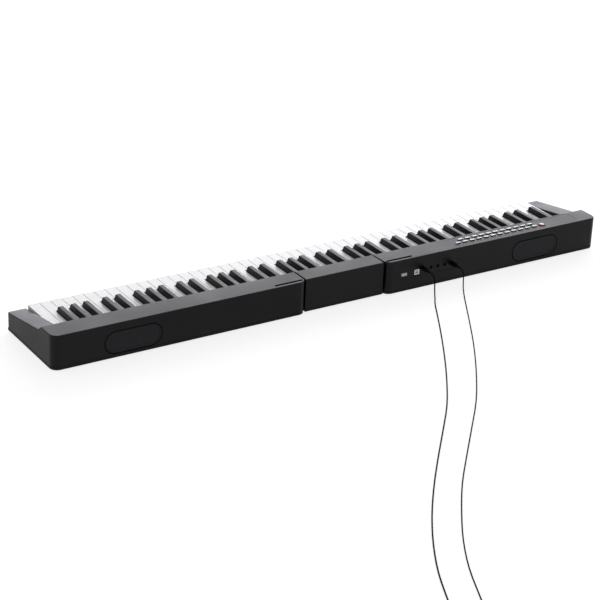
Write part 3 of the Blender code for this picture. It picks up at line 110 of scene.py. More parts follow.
POWER_LEAD = {
    "diameter": 0.0028, "exit": (-0.187, 0.1300, 0.0455),
    "route": [(-0.1872, 0.136, 0.0446), (-0.1882, 0.141, 0.0406), (-0.189, 0.1432, 0.0342),
              (-0.1898, 0.1436, 0.0265), (-0.1903, 0.1436, 0.019), (-0.1902, 0.1446, 0.0116),
              (-0.1886, 0.1476, 0.0054), (-0.1856, 0.1526, 0.002), (-0.1814, 0.159, 0.0014),
              (-0.1685, 0.177, 0.0014), (-0.14, 0.224, 0.0014), (-0.106, 0.281, 0.0014),
              (-0.056, 0.362, 0.0014), (0.01, 0.463, 0.0014), (0.076, 0.555, 0.0014), (0.146, 0.638, 0.0014),
              (0.213, 0.716, 0.0014), (0.275, 0.791, 0.0014), (0.33, 0.863, 0.0014), (0.378, 0.934, 0.0014),
              (0.419, 1.005, 0.0014), (0.447, 1.065, 0.0014)],
    "centre": (0.4862, 1.1107), "enters": (0.425, 0.905), "turn": -1, "leaves": (1, 0),
    "plug_axis": 0.00375, "relief": 0.0019}
AUDIO_LEAD = {
    "diameter": 0.0025, "exit": (-0.2616, 0.1310, 0.0420),
    "route": [(-0.2617, 0.137, 0.0414), (-0.262, 0.1418, 0.0376), (-0.2623, 0.144, 0.0314),
              (-0.2626, 0.1446, 0.024), (-0.2628, 0.1448, 0.017), (-0.2622, 0.1462, 0.01),
              (-0.2602, 0.1496, 0.0045), (-0.257, 0.155, 0.0017), (-0.2528, 0.1614, 0.00125),
              (-0.242, 0.178, 0.00125), (-0.208, 0.233, 0.00125), (-0.173, 0.29, 0.00125),
              (-0.122, 0.371, 0.00125), (-0.053, 0.472, 0.00125), (0.016, 0.564, 0.00125),
              (0.089, 0.648, 0.00125), (0.158, 0.726, 0.00125), (0.222, 0.8, 0.00125), (0.278, 0.874, 0.00125),
              (0.327, 0.945, 0.00125), (0.368, 1.016, 0.00125), (0.401, 1.088, 0.00125)],
    "centre": (0.4114, 1.1495), "enters": (0.382, 0.924), "turn": 1, "leaves": (-1, 0),
    "plug_axis": 0.0052, "relief": 0.0017}


def slope_at(points, index):
    if index in (0, len(points) - 1):
        start, end = points[max(index - 1, 0)], points[min(index + 1, len(points) - 1)]
        length = math.dist(start, end)
        return [(b - a) / length for a, b in zip(start, end)]
    before, here, after = points[index - 1:index + 2]
    behind, ahead = math.dist(before, here), math.dist(here, after)
    return [((c - b) / ahead * behind + (b - a) / behind * ahead) / (ahead + behind)
            for a, b, c in zip(before, here, after)]


def smooth_route(points, steps, floor):
    """Points along a smooth curve through the given ones, none below the floor."""
    route = []
    for index in range(len(points) - 1):
        start, end = points[index], points[index + 1]
        length = math.dist(start, end)
        leaving, arriving = slope_at(points, index), slope_at(points, index + 1)
        for step in range(steps):
            t = step / steps
            weights = (2 * t ** 3 - 3 * t ** 2 + 1, (t ** 3 - 2 * t ** 2 + t) * length,
                       3 * t ** 2 - 2 * t ** 3, (t ** 3 - t ** 2) * length)
            x, y, z = (sum(weight * value for weight, value in zip(weights, values))
                       for values in zip(start, leaving, end, arriving))
            route.append((x, y, max(z, floor)))
    return route + [points[-1]]


# %% [markdown]
# ### The coil
# The rest of each lead is wound by hand: the strands lie in three layers of two. A strand keeps its
# place for most of a turn and then steps over to the next place, each time an eighth of a turn
# earlier, so that no two strands ever meet.

# %% Winding of the coils


def strand_places(diameter):
    """Radius and height of the six places in a coil, in the order in which they are wound."""
    outer = (COIL_RADIUS_IN_LEADS + 0.5) * diameter
    inner = outer - diameter
    low, middle, high = (diameter * (layer + 0.5) for layer in range(3))
    return [(outer, low), (inner, low), (inner, middle), (inner, high), (outer, high), (outer, middle)]


def touch_angle(heading, turn):
    """Angle on a circle at which a line along the heading touches it."""
    return math.degrees(math.atan2(-heading[0] * turn, heading[1] * turn))


def coil_points(lead):
    places = strand_places(lead["diameter"])
    start = touch_angle(lead["enters"], lead["turn"])
    last = (touch_angle(lead["leaves"], lead["turn"]) - start) * lead["turn"] % 360
    total = WHOLE_TURNS * 360 + last
    count = round(total / 360 * COIL_POINTS_PER_TURN)
    points = []
    for step in range(1, count + 1):
        wound = total * step / count
        turn = min(int(wound // 360), WHOLE_TURNS)
        here, following = places[turn], places[min(turn + 1, WHOLE_TURNS)]
        moved = (wound - turn * 360 - (360 - (turn + 1) * MOVE_ANGLE)) / MOVE_ANGLE
        share = (1 - math.cos(math.pi * min(max(moved, 0), 1))) / 2
        radius, height = (a + share * (b - a) for a, b in zip(here, following))
        angle = math.radians(start + lead["turn"] * wound)
        points.append((lead["centre"][0] + radius * math.cos(angle),
                       lead["centre"][1] + radius * math.sin(angle), height))
    return points


def lead_points(lead):
    """Centreline of a whole lead, from its plug's sleeve to the far plug's sleeve."""
    diameter = lead["diameter"]
    rest = diameter / 2
    radius = (COIL_RADIUS_IN_LEADS + 0.5) * diameter
    outside = radius + rest
    angle = math.radians(touch_angle(lead["enters"], lead["turn"]))
    entry = [middle + radius * share for middle, share in zip(lead["centre"], (math.cos(angle), math.sin(angle)))]
    reach = math.sqrt(outside ** 2 - (radius - rest) ** 2) + 0.3 * MM
    approach = [tuple(value - share * distance for value, share in zip(entry, lead["enters"])) + (rest,)
                for distance in (reach + 4 * diameter, reach, 0)]
    x, y, z = lead["exit"]
    points = smooth_route([(x, y, z), (x, y + diameter, z), *lead["route"], *approach], 3, rest)
    points += coil_points(lead)
    x, y, z = points[-1]
    sleeve = math.sqrt(outside ** 2 - (radius - lead["relief"]) ** 2) + 0.3 * MM + 3 * MM
    for step in range(1, 7):
        share = step / 6
        rise = (1 - math.cos(math.pi * min(share * 1.3, 1))) / 2
        points.append((x + lead["leaves"][0] * sleeve * share, y + lead["leaves"][1] * sleeve * share,
                       z + (lead["plug_axis"] - z) * rise))
    return points


def add_lead(name, lead):
    data = bpy.data.curves.new(name, "CURVE")
    data.dimensions = "3D"
    data.bevel_depth = 1.0
    data.bevel_resolution = 4
    data.use_fill_caps = True
    points = lead_points(lead)
    spline = data.splines.new("POLY")
    spline.points.add(len(points) - 1)
    for place, point in zip(spline.points, points):
        place.co = (*point, 1)
        place.radius = lead["diameter"] / 2
    piece = bpy.data.objects.new(name, data)
    bpy.context.collection.objects.link(piece)
    length = sum(math.dist(a, b) for a, b in zip(points, points[1:]))
    print(name, "is", round(length, 3), "m long with", len(points), "points")
    return piece


power_lead = add_lead("power_lead", POWER_LEAD)
audio_lead = add_lead("line_out_lead", AUDIO_LEAD)

# %% [markdown]
# ## Small round and banded shapes
# Rims, collars and screws are turned shapes: a profile is carried round an axis. One helper takes the
# rings of points of any closed or open body and skins them, and the others only give it the rings.

# %% Helpers for shapes


def add_piece(name, rings, closed=False, smooth=True):
    """Skin rings of points; a closed body joins the last ring to the first, an open one is capped."""
    mesh = bmesh.new()
    rows = [[mesh.verts.new(point) for point in ring] for ring in rings]
    pairs = list(zip(rows, rows[1:]))
    if closed:
        pairs.append((rows[-1], rows[0]))
    for lower, upper in pairs:
        for index in range(len(lower)):
            following = (index + 1) % len(lower)
            mesh.faces.new((lower[index], lower[following], upper[following], upper[index]))
    if not closed:
        mesh.faces.new(list(reversed(rows[0])))
        mesh.faces.new(rows[-1])
    bmesh.ops.recalc_face_normals(mesh, faces=mesh.faces)
    data = bpy.data.meshes.new(name)
    mesh.to_mesh(data)
    mesh.free()
    if smooth:
        data.shade_smooth()
        data.set_sharp_from_angle(angle=math.radians(40))
    piece = bpy.data.objects.new(name, data)
    bpy.context.collection.objects.link(piece)
    return piece


def turned(centre, profile, sides=32, axis="y"):
    """Rings for a profile of (radius, height along the axis) pairs."""
    rings = []
    for radius, along in profile:
        ring = []
        for step in range(sides):
            angle = 2 * math.pi * step / sides
            across = (radius * math.cos(angle), radius * math.sin(angle))
            offset = {"y": (across[0], along, across[1]), "z": (across[0], across[1], along)}[axis]
            ring.append(tuple(value + move for value, move in zip(centre, offset)))
        rings.append(ring)
    return rings


def stadium(centre, length, height, steps=14):
    """Outline of a slot with half-round ends, as (x, z) pairs."""
    radius = height / 2
    reach = length / 2 - radius
    points = []
    for side, start in ((1, -90), (-1, 90)):
        for step in range(steps + 1):
            angle = math.radians(start + 180 * step / steps)
            points.append((centre[0] + side * reach + radius * math.cos(angle), centre[1] + radius * math.sin(angle)))
    return points


def rounded_box(x, z, radius, steps=4):
    """Outline of a rectangle with round corners, as (x, z) pairs."""
    points = []
    for cx, cz, start in ((x[1] - radius, z[1] - radius, 0), (x[0] + radius, z[1] - radius, 90),
                          (x[0] + radius, z[0] + radius, 180), (x[1] - radius, z[0] + radius, 270)):
        for step in range(steps + 1):
            angle = math.radians(start + 90 * step / steps)
            points.append((cx + radius * math.cos(angle), cz + radius * math.sin(angle)))
    return points


# %% [markdown]
# ## Ties on the coils
# Each coil is held by a hook-and-loop band, a flat loop round the bundle of strands.

# %% Coil ties


def add_tie(name, lead, angle):
    """A flat band round the coil's cross-section at one angle."""
    diameter = lead["diameter"]
    middle = COIL_RADIUS_IN_LEADS * diameter
    half_width, thickness = 3.5 * MM, 0.6 * MM
    across = (math.cos(math.radians(angle)), math.sin(math.radians(angle)))
    along = (-across[1], across[0])

    def loop(grow, shift):
        outline = rounded_box((middle - diameter - grow, middle + diameter + grow),
                              (max(0.1 * MM, 0.3 * MM - grow), 3 * diameter + grow), diameter / 2 + grow, 3)
        return [(lead["centre"][0] + across[0] * radius + along[0] * shift,
                 lead["centre"][1] + across[1] * radius + along[1] * shift, z) for radius, z in outline]

    rings = [loop(0.05 * MM, -half_width), loop(thickness, -half_width),
             loop(thickness, half_width), loop(0.05 * MM, half_width)]
    return add_piece(name, rings, closed=True)


power_tie = add_tie("power_lead_tie", POWER_LEAD, -60)
audio_tie = add_tie("line_out_lead_tie", AUDIO_LEAD, 200)

# %% The solid leads give way to the new ones
for piece, tie, solid, lead, length in (
        (power_lead, power_tie, "dc", POWER_LEAD, 1.742), (audio_lead, audio_tie, "audio", AUDIO_LEAD, 1.733)):
    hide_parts(f"{solid}_lead", f"{solid}_coil")
    for part in (piece, tie):
        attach(part, "bass_half")

# %% [markdown]
# ## Speaker rims and mesh
# Behind the rear wall each speaker looks out through an oblong opening. A soft-edged rim frames a
# sheet of finely perforated steel. The holes are far below a millimetre apart in the picture, so they
# are drawn in the finish, while the rim is real geometry because it catches the light. A thin near-black
# strip between the rim and the wall is painted shadow: it stands for the shade in the gap round the rim.

# %% Speaker trim
PANEL_FACE = 0.1014
SPEAKER_X, SPEAKER_Z = 0.4835, 0.0334
RIM_LENGTH, RIM_HEIGHT, RIM_WIDTH, RIM_PROUD = 120.4 * MM, 44.4 * MM, 5.2 * MM, 1.5 * MM
# The painted shadow strip's inset from the outer edge of the rim, which is outside it, and its height over the panel.
SHADOW_STRIP_PROFILE_MM = [(-1.7, -0.3), (-1.7, 0.68), (0.0, 0.68), (0.3, 0.1), (0.3, -0.3)]


def add_speaker_trim(half, side):
    centre = (side * SPEAKER_X, SPEAKER_Z)

    def ring(inset, proud):
        outline = stadium(centre, RIM_LENGTH - 2 * inset, RIM_HEIGHT - 2 * inset)
        return [(x, PANEL_FACE + proud, z) for x, z in outline]

    steps = 8
    rings = [ring(0, -0.4 * MM)]
    for step in range(steps + 1):
        share = step / steps
        rings.append(ring(RIM_WIDTH * share, RIM_PROUD * math.sin(math.pi * (0.08 + 0.84 * share)) - 0.2 * MM))
    rings.append(ring(RIM_WIDTH, -0.4 * MM))
    rim = add_piece(f"{half}_speaker_rim", rings, closed=True)
    mesh_rings = [ring(RIM_WIDTH - 0.3 * MM, -0.3 * MM), ring(RIM_WIDTH - 0.3 * MM, 0.1 * MM),
                  ring(RIM_WIDTH + 3 * MM, 0.35 * MM), ring(RIM_WIDTH + 8 * MM, 0.5 * MM)]
    sheet = add_piece(f"{half}_speaker_mesh", mesh_rings)
    # Near-black strip round the rim: painted shadow of the gap between rim and wall.
    shadow_strip = add_piece(f"{half}_speaker_shadow_strip", [ring(inset * MM, proud * MM) for inset, proud in SHADOW_STRIP_PROFILE_MM],
                     closed=True)
    for piece in (rim, sheet, shadow_strip):
        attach(piece, f"{half}_half")
    return rim, sheet, shadow_strip


speaker_trim = {half: add_speaker_trim(half, side) for half, side in (("bass", -1), ("treble", 1))}
print("speaker trim on", list(speaker_trim))

# %% [markdown]
# ## Socket shells, tongues and collars
# A data socket is a folded steel shell round a plastic tongue, and the audio jacks have a moulded
# collar. The shells line the mouths that the solids already have, with a bright rim outside.

# %% Socket trim
HOST_PORT = {"middle": (-0.1415, 0.0393), "mouth": (12.5, 5.2), "rim": (13.1, 5.9), "tongue": (10.5, 2.9),
             "tongue_drop": 0.5}
DEVICE_PORT = {"middle": (-0.1732, 0.0388), "mouth": (8.5, 7.8), "rim": (12.0, 10.6), "tongue": (5.4, 3.6),
               "tongue_drop": 0.0}
JACKS = [(-0.2100, 0.042), (-0.2272, 0.042), (-0.2444, 0.042)]
PORT_DEPTH = 12 * MM


def port_outline(port, size, radius):
    x, z = port["middle"]
    width, height = (value * MM / 2 for value in size)
    return rounded_box((x - width, x + width), (z - height, z + height), radius)


def add_port(name, port):
    """The bent steel shell of a data socket and its tongue."""
    width, height = port["mouth"]

    def ring(size, y, radius, drop=0.0):
        return [(px, PANEL_FACE + y, pz - drop * MM) for px, pz in port_outline(port, size, radius)]

    tongue_size, drop = port["tongue"], port["tongue_drop"]
    inner, outer = (width - 0.9, height - 0.9), (width - 0.1, height - 0.1)
    shell = add_piece(f"{name}_shell", [
        ring(outer, -PORT_DEPTH, 0.5 * MM), ring(outer, 0.02 * MM, 0.5 * MM), ring(port["rim"], 0.02 * MM, 1 * MM),
        ring(port["rim"], 0.3 * MM, 1 * MM), ring((width - 0.2, height - 0.2), 0.35 * MM, 0.6 * MM),
        ring(inner, 0, 0.4 * MM), ring(inner, -PORT_DEPTH, 0.4 * MM)], closed=True)
    tongue = add_piece(f"{name}_tongue", [
        ring(tongue_size, -PORT_DEPTH, 0.2 * MM, drop), ring(tongue_size, -0.9 * MM, 0.2 * MM, drop),
        ring([value - 0.4 for value in tongue_size], -0.7 * MM, 0.1 * MM, drop)])
    for piece in (shell, tongue):
        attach(piece, "bass_half")
    return shell, tongue


def add_jack_collar(index, place):
    profile = [(3.3, -8), (3.32, 0.02), (4.9, 0.02), (5.1, 0.3), (4.9, 0.7), (4.0, 0.8), (3.4, 0.4), (3.2, -0.4), (3.2, -8)]
    rings = turned((place[0], PANEL_FACE, place[1]), [(radius * MM, y * MM) for radius, y in profile])
    collar = add_piece(f"jack_collar_{index}", rings, closed=True)
    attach(collar, "bass_half")
    return collar


ports = [add_port("host_port", HOST_PORT), add_port("device_port", DEVICE_PORT)]
collars = [add_jack_collar(index + 1, place) for index, place in enumerate(JACKS)]
print("socket trim:", len(ports), "ports and", len(collars), "collars")

# %% [markdown]
# ## Lens of the power button
# A clear red lens sits in the middle of the black button, slightly crowned so that it feels under a
# finger. A turned dome gives its highlight.

# %% Power lens
POWER_PLACE = (-0.5165, 0.0795)
power_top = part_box("power_button")[1].z
LENS_RADIUS, LENS_CROWN = 4.9 * MM, 0.6 * MM
lens_profile = [(LENS_RADIUS, -0.3 * MM)] + [
    (LENS_RADIUS * math.cos(math.radians(angle)), LENS_CROWN * math.sin(math.radians(angle)) + 0.05 * MM)
    for angle in (0, 20, 40, 60, 75, 86)]
power_lens = add_piece("power_lens", turned((*POWER_PLACE, power_top), lens_profile, 36, "z"))
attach(power_lens, "power_button_body")

# %% [markdown]
# ## Screws under the case
# Pan-head screws with a hexagon socket hold the trays to the top shells. They only show when a half is
# folded up, but a case without them would look unfinished there.

# %% Screws
SCREW_PLACES = [0.1132, 0.2245, 0.3990, 0.6319]
SCREW_Y = 0.0555
TRAY_UNDERSIDE = 2 * MM


def add_screw(name, body, x, y):
    """A pan head whose socket has six flats."""
    sides = 24

    def ring(radius, depth, flats=False):
        points = []
        for step in range(sides):
            angle = 2 * math.pi * step / sides
            reach = radius
            if flats:
                reach = radius / math.cos((angle + math.pi / 6) % (math.pi / 3) - math.pi / 6)
            points.append((x + reach * math.cos(angle), y + reach * math.sin(angle), TRAY_UNDERSIDE - depth))
        return points

    rings = [ring(3.2 * MM, -0.3 * MM), ring(3.2 * MM, 0.5 * MM), ring(2.8 * MM, 0.95 * MM), ring(2.0 * MM, 1.15 * MM),
             ring(1.3 * MM, 1.15 * MM, True), ring(1.2 * MM, 0.35 * MM, True)]
    screw = add_piece(name, rings)
    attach(screw, body)
    return screw


screws = [add_screw(f"{half}_screw_{index + 1}", f"{half}_half", side * x, SCREW_Y)
          for half, side in (("bass", -1), ("treble", 1)) for index, x in enumerate(SCREW_PLACES)]
screws += [add_screw(f"block_screw_{index + 1}", "hinge_block", x, 0.072) for index, x in enumerate((-0.083, 0.083))]
print(len(screws), "screws")

# %% [markdown]
# ## Finishes
# Every finish is a small graph of nodes. Colours are written as sRGB hex values, as a painter's chart
# gives them, and one function turns them to the linear values that light needs.

# %% Helpers for materials
MIX_A, MIX_B, MIX_COLOUR = 6, 7, 2


def srgb(hex_value):
    """Turn a colour such as 1c1c1e into linear red, green, blue and alpha."""
    channels = []
    for start in (0, 2, 4):
        value = int(hex_value[start:start + 2], 16) / 255
        channels.append(value / 12.92 if value <= 0.04045 else ((value + 0.055) / 1.055) ** 2.4)
    return (*channels, 1.0)


def add_node(tree, kind, settings=None, inputs=None):
    """Add one node; a value in inputs is a setting, and an output socket is a link."""
    node = tree.nodes.new(kind)
    for name, value in (settings or {}).items():
        setattr(node, name, value)
    for name, value in (inputs or {}).items():
        if isinstance(value, bpy.types.NodeSocket):
            tree.links.new(value, node.inputs[name])
        else:
            node.inputs[name].default_value = value
    return node


def new_material(name):
    material = bpy.data.materials.new(name)
    material.use_nodes = True
    material.node_tree.nodes.clear()
    return material, material.node_tree


# %% [markdown]
# ### Grained moulded plastic
# ABS is moulded in a steel tool whose walls were spark-eroded to a fine, even grain. The grain scatters
# the gloss into a broad soft sheen, so the top looks grey under a white sky while the walls stay nearly
# black. Hands polish the edges first, so the edges are a little lighter and smoother.

# %% Grained plastic


def grained_plastic(name, colour, rubbed, roughness, grain_mm, grain_depth_mm, specular=0.4):
    material, tree = new_material(name)
    place = add_node(tree, "ShaderNodeTexCoord").outputs["Object"]
    grain = add_node(tree, "ShaderNodeTexNoise", inputs={
        "Vector": place, "Scale": 1000 / grain_mm, "Detail": 3.0, "Roughness": 0.6})
    handling = add_node(tree, "ShaderNodeTexNoise", inputs={"Vector": place, "Scale": 1000 / 90, "Detail": 5.0})
    softened = add_node(tree, "ShaderNodeBevel", {"samples": 4}, {"Radius": 1.2 * MM})
    surface = add_node(tree, "ShaderNodeNewGeometry")
    agreement = add_node(tree, "ShaderNodeVectorMath", {"operation": "DOT_PRODUCT"}, {
        0: softened.outputs["Normal"], 1: surface.outputs["Normal"]})
    edge = add_node(tree, "ShaderNodeMapRange", inputs={
        "Value": agreement.outputs["Value"], "From Min": 0.99, "From Max": 0.75, "To Min": 0.0, "To Max": 1.0})
    worn = add_node(tree, "ShaderNodeMath", {"operation": "MULTIPLY"}, {
        0: edge.outputs["Result"], 1: handling.outputs["Fac"]})
    speckle = add_node(tree, "ShaderNodeMapRange", inputs={
        "Value": grain.outputs["Fac"], "From Min": 0.3, "From Max": 0.7, "To Min": 0.0, "To Max": 0.35})
    lightness = add_node(tree, "ShaderNodeMath", {"operation": "ADD", "use_clamp": True}, {
        0: worn.outputs[0], 1: speckle.outputs["Result"]})
    tint = add_node(tree, "ShaderNodeMix", {"data_type": "RGBA"}, {
        0: lightness.outputs[0], MIX_A: srgb(colour), MIX_B: srgb(rubbed)})
    uneven = add_node(tree, "ShaderNodeMapRange", inputs={
        "Value": handling.outputs["Fac"], "From Min": 0.3, "From Max": 0.7,
        "To Min": roughness + 0.04, "To Max": roughness - 0.04})
    gloss = add_node(tree, "ShaderNodeMath", {"operation": "MULTIPLY_ADD"}, {
        0: edge.outputs["Result"], 1: -0.08, 2: uneven.outputs["Result"]})
    bump = add_node(tree, "ShaderNodeBump", inputs={
        "Height": grain.outputs["Fac"], "Strength": 0.6, "Distance": grain_depth_mm * MM})
    shader = add_node(tree, "ShaderNodeBsdfPrincipled", inputs={
        "Base Color": tint.outputs[MIX_COLOUR], "Roughness": gloss.outputs[0], "IOR": 1.54,
        "Specular IOR Level": specular, "Normal": bump.outputs["Normal"]})
    add_node(tree, "ShaderNodeOutputMaterial", inputs={"Surface": shader.outputs["BSDF"]})
    return material


FINISHES = {
    "black_abs": grained_plastic("Spark-grained black ABS", "0c0c0e", "1e1e21", 0.44, 1.4, 0.09, 0.14),
    "tray_abs": grained_plastic("Coarse-grained black ABS", "0a0a0b", "19191b", 0.55, 2.0, 0.08, 0.14),
    "frame_abs": grained_plastic("Plain black ABS", "131314", "262628", 0.55, 3.0, 0.03, 0.25),
    "grille_abs": grained_plastic("Satin black ABS", "0e0e10", "202023", 0.42, 1.2, 0.03, 0.15),
    "panel_film": grained_plastic("Hard-coated polycarbonate film", "0d0d10", "202024", 0.44, 1.0, 0.02, 0.15),
    "ebony_abs": grained_plastic("Satin black key ABS", "0b0b0d", "1c1c1e", 0.4, 1.1, 0.03, 0.17),
}
print("grained plastics:", ", ".join(sorted(FINISHES)))

# %% [markdown]
# ### White key plastic
# The white keys are glossy ABS, polished in the mould. They are never quite even: the mould leaves long
# faint flow marks, and fingers leave patches of softer gloss.

# %% White keys


def polished_white(name, colour, shade, roughness):
    material, tree = new_material(name)
    place = add_node(tree, "ShaderNodeTexCoord").outputs["Object"]
    stretched = add_node(tree, "ShaderNodeMapping", inputs={"Vector": place, "Scale": (1.0, 0.15, 1.0)})
    flow = add_node(tree, "ShaderNodeTexNoise", inputs={
        "Vector": stretched.outputs[0], "Scale": 1000 / 12, "Detail": 3.0})
    touch = add_node(tree, "ShaderNodeTexNoise", inputs={"Vector": place, "Scale": 1000 / 18, "Detail": 4.0})
    tint = add_node(tree, "ShaderNodeMix", {"data_type": "RGBA"}, {
        0: flow.outputs["Fac"], MIX_A: srgb(colour), MIX_B: srgb(shade)})
    gloss = add_node(tree, "ShaderNodeMapRange", inputs={
        "Value": touch.outputs["Fac"], "From Min": 0.3, "From Max": 0.7,
        "To Min": roughness - 0.02, "To Max": roughness + 0.03})
    bump = add_node(tree, "ShaderNodeBump", inputs={
        "Height": flow.outputs["Fac"], "Strength": 0.08, "Distance": 0.02 * MM})
    shader = add_node(tree, "ShaderNodeBsdfPrincipled", inputs={
        "Base Color": tint.outputs[MIX_COLOUR], "Roughness": gloss.outputs["Result"], "IOR": 1.54,
        "Specular IOR Level": 0.25, "Normal": bump.outputs["Normal"]})
    add_node(tree, "ShaderNodeOutputMaterial", inputs={"Surface": shader.outputs["BSDF"]})
    return material


FINISHES["ivory_abs"] = polished_white("Polished white key ABS", "f3f2ef", "f0efec", 0.3)
white_tongue_finish = polished_white("White socket nylon", "f4f4f0", "ecece8", 0.4)

# %% [markdown]
# ### Metal
# The hinge parts and screws are steel with a thin zinc coat, which shows soft cloudy crystals. Socket
# shells and plug contacts are nickel plated, smoother and a little warmer.

# %% Plated metal


def plated_metal(name, colour, dull, roughness, cloud_mm):
    material, tree = new_material(name)
    place = add_node(tree, "ShaderNodeTexCoord").outputs["Object"]
    clouds = add_node(tree, "ShaderNodeTexVoronoi", {"feature": "SMOOTH_F1"}, {
        "Vector": place, "Scale": 1000 / cloud_mm})
    brushing = add_node(tree, "ShaderNodeMapping", inputs={"Vector": place, "Scale": (1.0, 0.05, 1.0)})
    strokes = add_node(tree, "ShaderNodeTexNoise", inputs={
        "Vector": brushing.outputs[0], "Scale": 1000 / 0.6, "Detail": 2.0})
    tint = add_node(tree, "ShaderNodeMix", {"data_type": "RGBA"}, {
        0: clouds.outputs["Distance"], MIX_A: srgb(colour), MIX_B: srgb(dull)})
    gloss = add_node(tree, "ShaderNodeMapRange", inputs={
        "Value": clouds.outputs["Distance"], "To Min": roughness, "To Max": roughness + 0.15})
    bump = add_node(tree, "ShaderNodeBump", inputs={
        "Height": strokes.outputs["Fac"], "Strength": 0.3, "Distance": 0.01 * MM})
    shader = add_node(tree, "ShaderNodeBsdfPrincipled", inputs={
        "Base Color": tint.outputs[MIX_COLOUR], "Roughness": gloss.outputs["Result"], "Metallic": 1.0,
        "Normal": bump.outputs["Normal"]})
    add_node(tree, "ShaderNodeOutputMaterial", inputs={"Surface": shader.outputs["BSDF"]})
    return material


FINISHES["zinc_steel"] = plated_metal("Zinc-plated steel", "c6c8ca", "a6a9ad", 0.32, 4)
nickel_finish = plated_metal("Nickel-plated steel", "d9d7d2", "c4c2bc", 0.22, 6)

# %% [markdown]
# ### Silver tops of the buttons, with painted side shade
# The silicone buttons have a pale silver-grey top with fine flakes that each catch the light on their own.
# Their sides are painted near black as painted shade; the direction of the surface tells top from side.

# %% Button lacquer


def silver_top_painted_side_shade(name):
    material, tree = new_material(name)
    place = add_node(tree, "ShaderNodeTexCoord").outputs["Object"]
    flakes = add_node(tree, "ShaderNodeTexVoronoi", inputs={"Vector": place, "Scale": 1000 / 0.5})
    spread = add_node(tree, "ShaderNodeMapRange", inputs={
        "Value": flakes.outputs["Distance"], "From Min": 0.1, "From Max": 0.7, "To Min": 0.0, "To Max": 1.0})
    silver = add_node(tree, "ShaderNodeMix", {"data_type": "RGBA"}, {
        0: spread.outputs["Result"], MIX_A: srgb("fafbfc"), MIX_B: srgb("eeeff1")})
    facing = add_node(tree, "ShaderNodeSeparateXYZ", inputs={
        0: add_node(tree, "ShaderNodeNewGeometry").outputs["Normal"]}).outputs["Z"]
    top_not_side_shade = add_node(tree, "ShaderNodeMapRange", inputs={"Value": facing, "From Min": 0.45, "From Max": 0.6})
    tint = add_node(tree, "ShaderNodeMix", {"data_type": "RGBA"}, {
        # Faces that don't look up get near-black 0d0d0e: painted shade on the button sides.
        0: top_not_side_shade.outputs["Result"], MIX_A: srgb("0d0d0e"), MIX_B: silver.outputs[MIX_COLOUR]})
    bump = add_node(tree, "ShaderNodeBump", inputs={
        "Height": flakes.outputs["Distance"], "Strength": 0.3, "Distance": 0.03 * MM})
    shader = add_node(tree, "ShaderNodeBsdfPrincipled", inputs={
        "Base Color": tint.outputs[MIX_COLOUR], "Roughness": 0.4, "IOR": 1.5,
        "Specular IOR Level": 0.4, "Normal": bump.outputs["Normal"]})
    add_node(tree, "ShaderNodeOutputMaterial", inputs={"Surface": shader.outputs["BSDF"]})
    return material


FINISHES["button_silicone"] = silver_top_painted_side_shade("Silver button top, painted side shade")

# %% [markdown]
# ### Rubber and soft jackets
# The feet are matt rubber with pores. The leads have a soft vinyl jacket, slightly glossier.

# %% Soft plastics


def soft_plastic(name, colour, bloom, roughness, pore_mm, pore_depth_mm, specular=0.3):
    material, tree = new_material(name)
    place = add_node(tree, "ShaderNodeTexCoord").outputs["Object"]
    pores = add_node(tree, "ShaderNodeTexNoise", inputs={"Vector": place, "Scale": 1000 / pore_mm, "Detail": 4.0})
    dust = add_node(tree, "ShaderNodeTexNoise", inputs={"Vector": place, "Scale": 1000 / 25, "Detail": 5.0})
    tint = add_node(tree, "ShaderNodeMix", {"data_type": "RGBA"}, {
        0: dust.outputs["Fac"], MIX_A: srgb(colour), MIX_B: srgb(bloom)})
    gloss = add_node(tree, "ShaderNodeMapRange", inputs={
        "Value": dust.outputs["Fac"], "To Min": roughness - 0.08, "To Max": roughness + 0.08})
    bump = add_node(tree, "ShaderNodeBump", inputs={
        "Height": pores.outputs["Fac"], "Strength": 0.5, "Distance": pore_depth_mm * MM})
    shader = add_node(tree, "ShaderNodeBsdfPrincipled", inputs={
        "Base Color": tint.outputs[MIX_COLOUR], "Roughness": gloss.outputs["Result"], "IOR": 1.52,
        "Specular IOR Level": specular, "Normal": bump.outputs["Normal"]})
    add_node(tree, "ShaderNodeOutputMaterial", inputs={"Surface": shader.outputs["BSDF"]})
    return material


FINISHES["foot_rubber"] = soft_plastic("Moulded rubber", "1a1a1a", "2a2a29", 0.8, 0.8, 0.06)
FINISHES["lead_pvc"] = soft_plastic("Soft vinyl jacket", "040405", "080809", 0.62, 0.6, 0.02, 0.04)
FINISHES["cone_paper"] = soft_plastic("Felted paper cone", "1e1d1c", "2b2a28", 0.9, 0.5, 0.1)
tie_finish = soft_plastic("Woven nylon hook tape", "19191b", "2b2b2e", 0.85, 0.4, 0.15)
# Near-black, almost unreflecting strip round the speaker rims: painted shadow of the gap at the rim.
shadow_strip_finish = soft_plastic("Painted shadow strip", "020203", "060607", 0.9, 0.8, 0.03, 0.02)

# %% [markdown]
# ### The power button
# The button is black with a red lens. The lens is painted pink: its red is lightened by a painted
# highlight.

# %% Power button


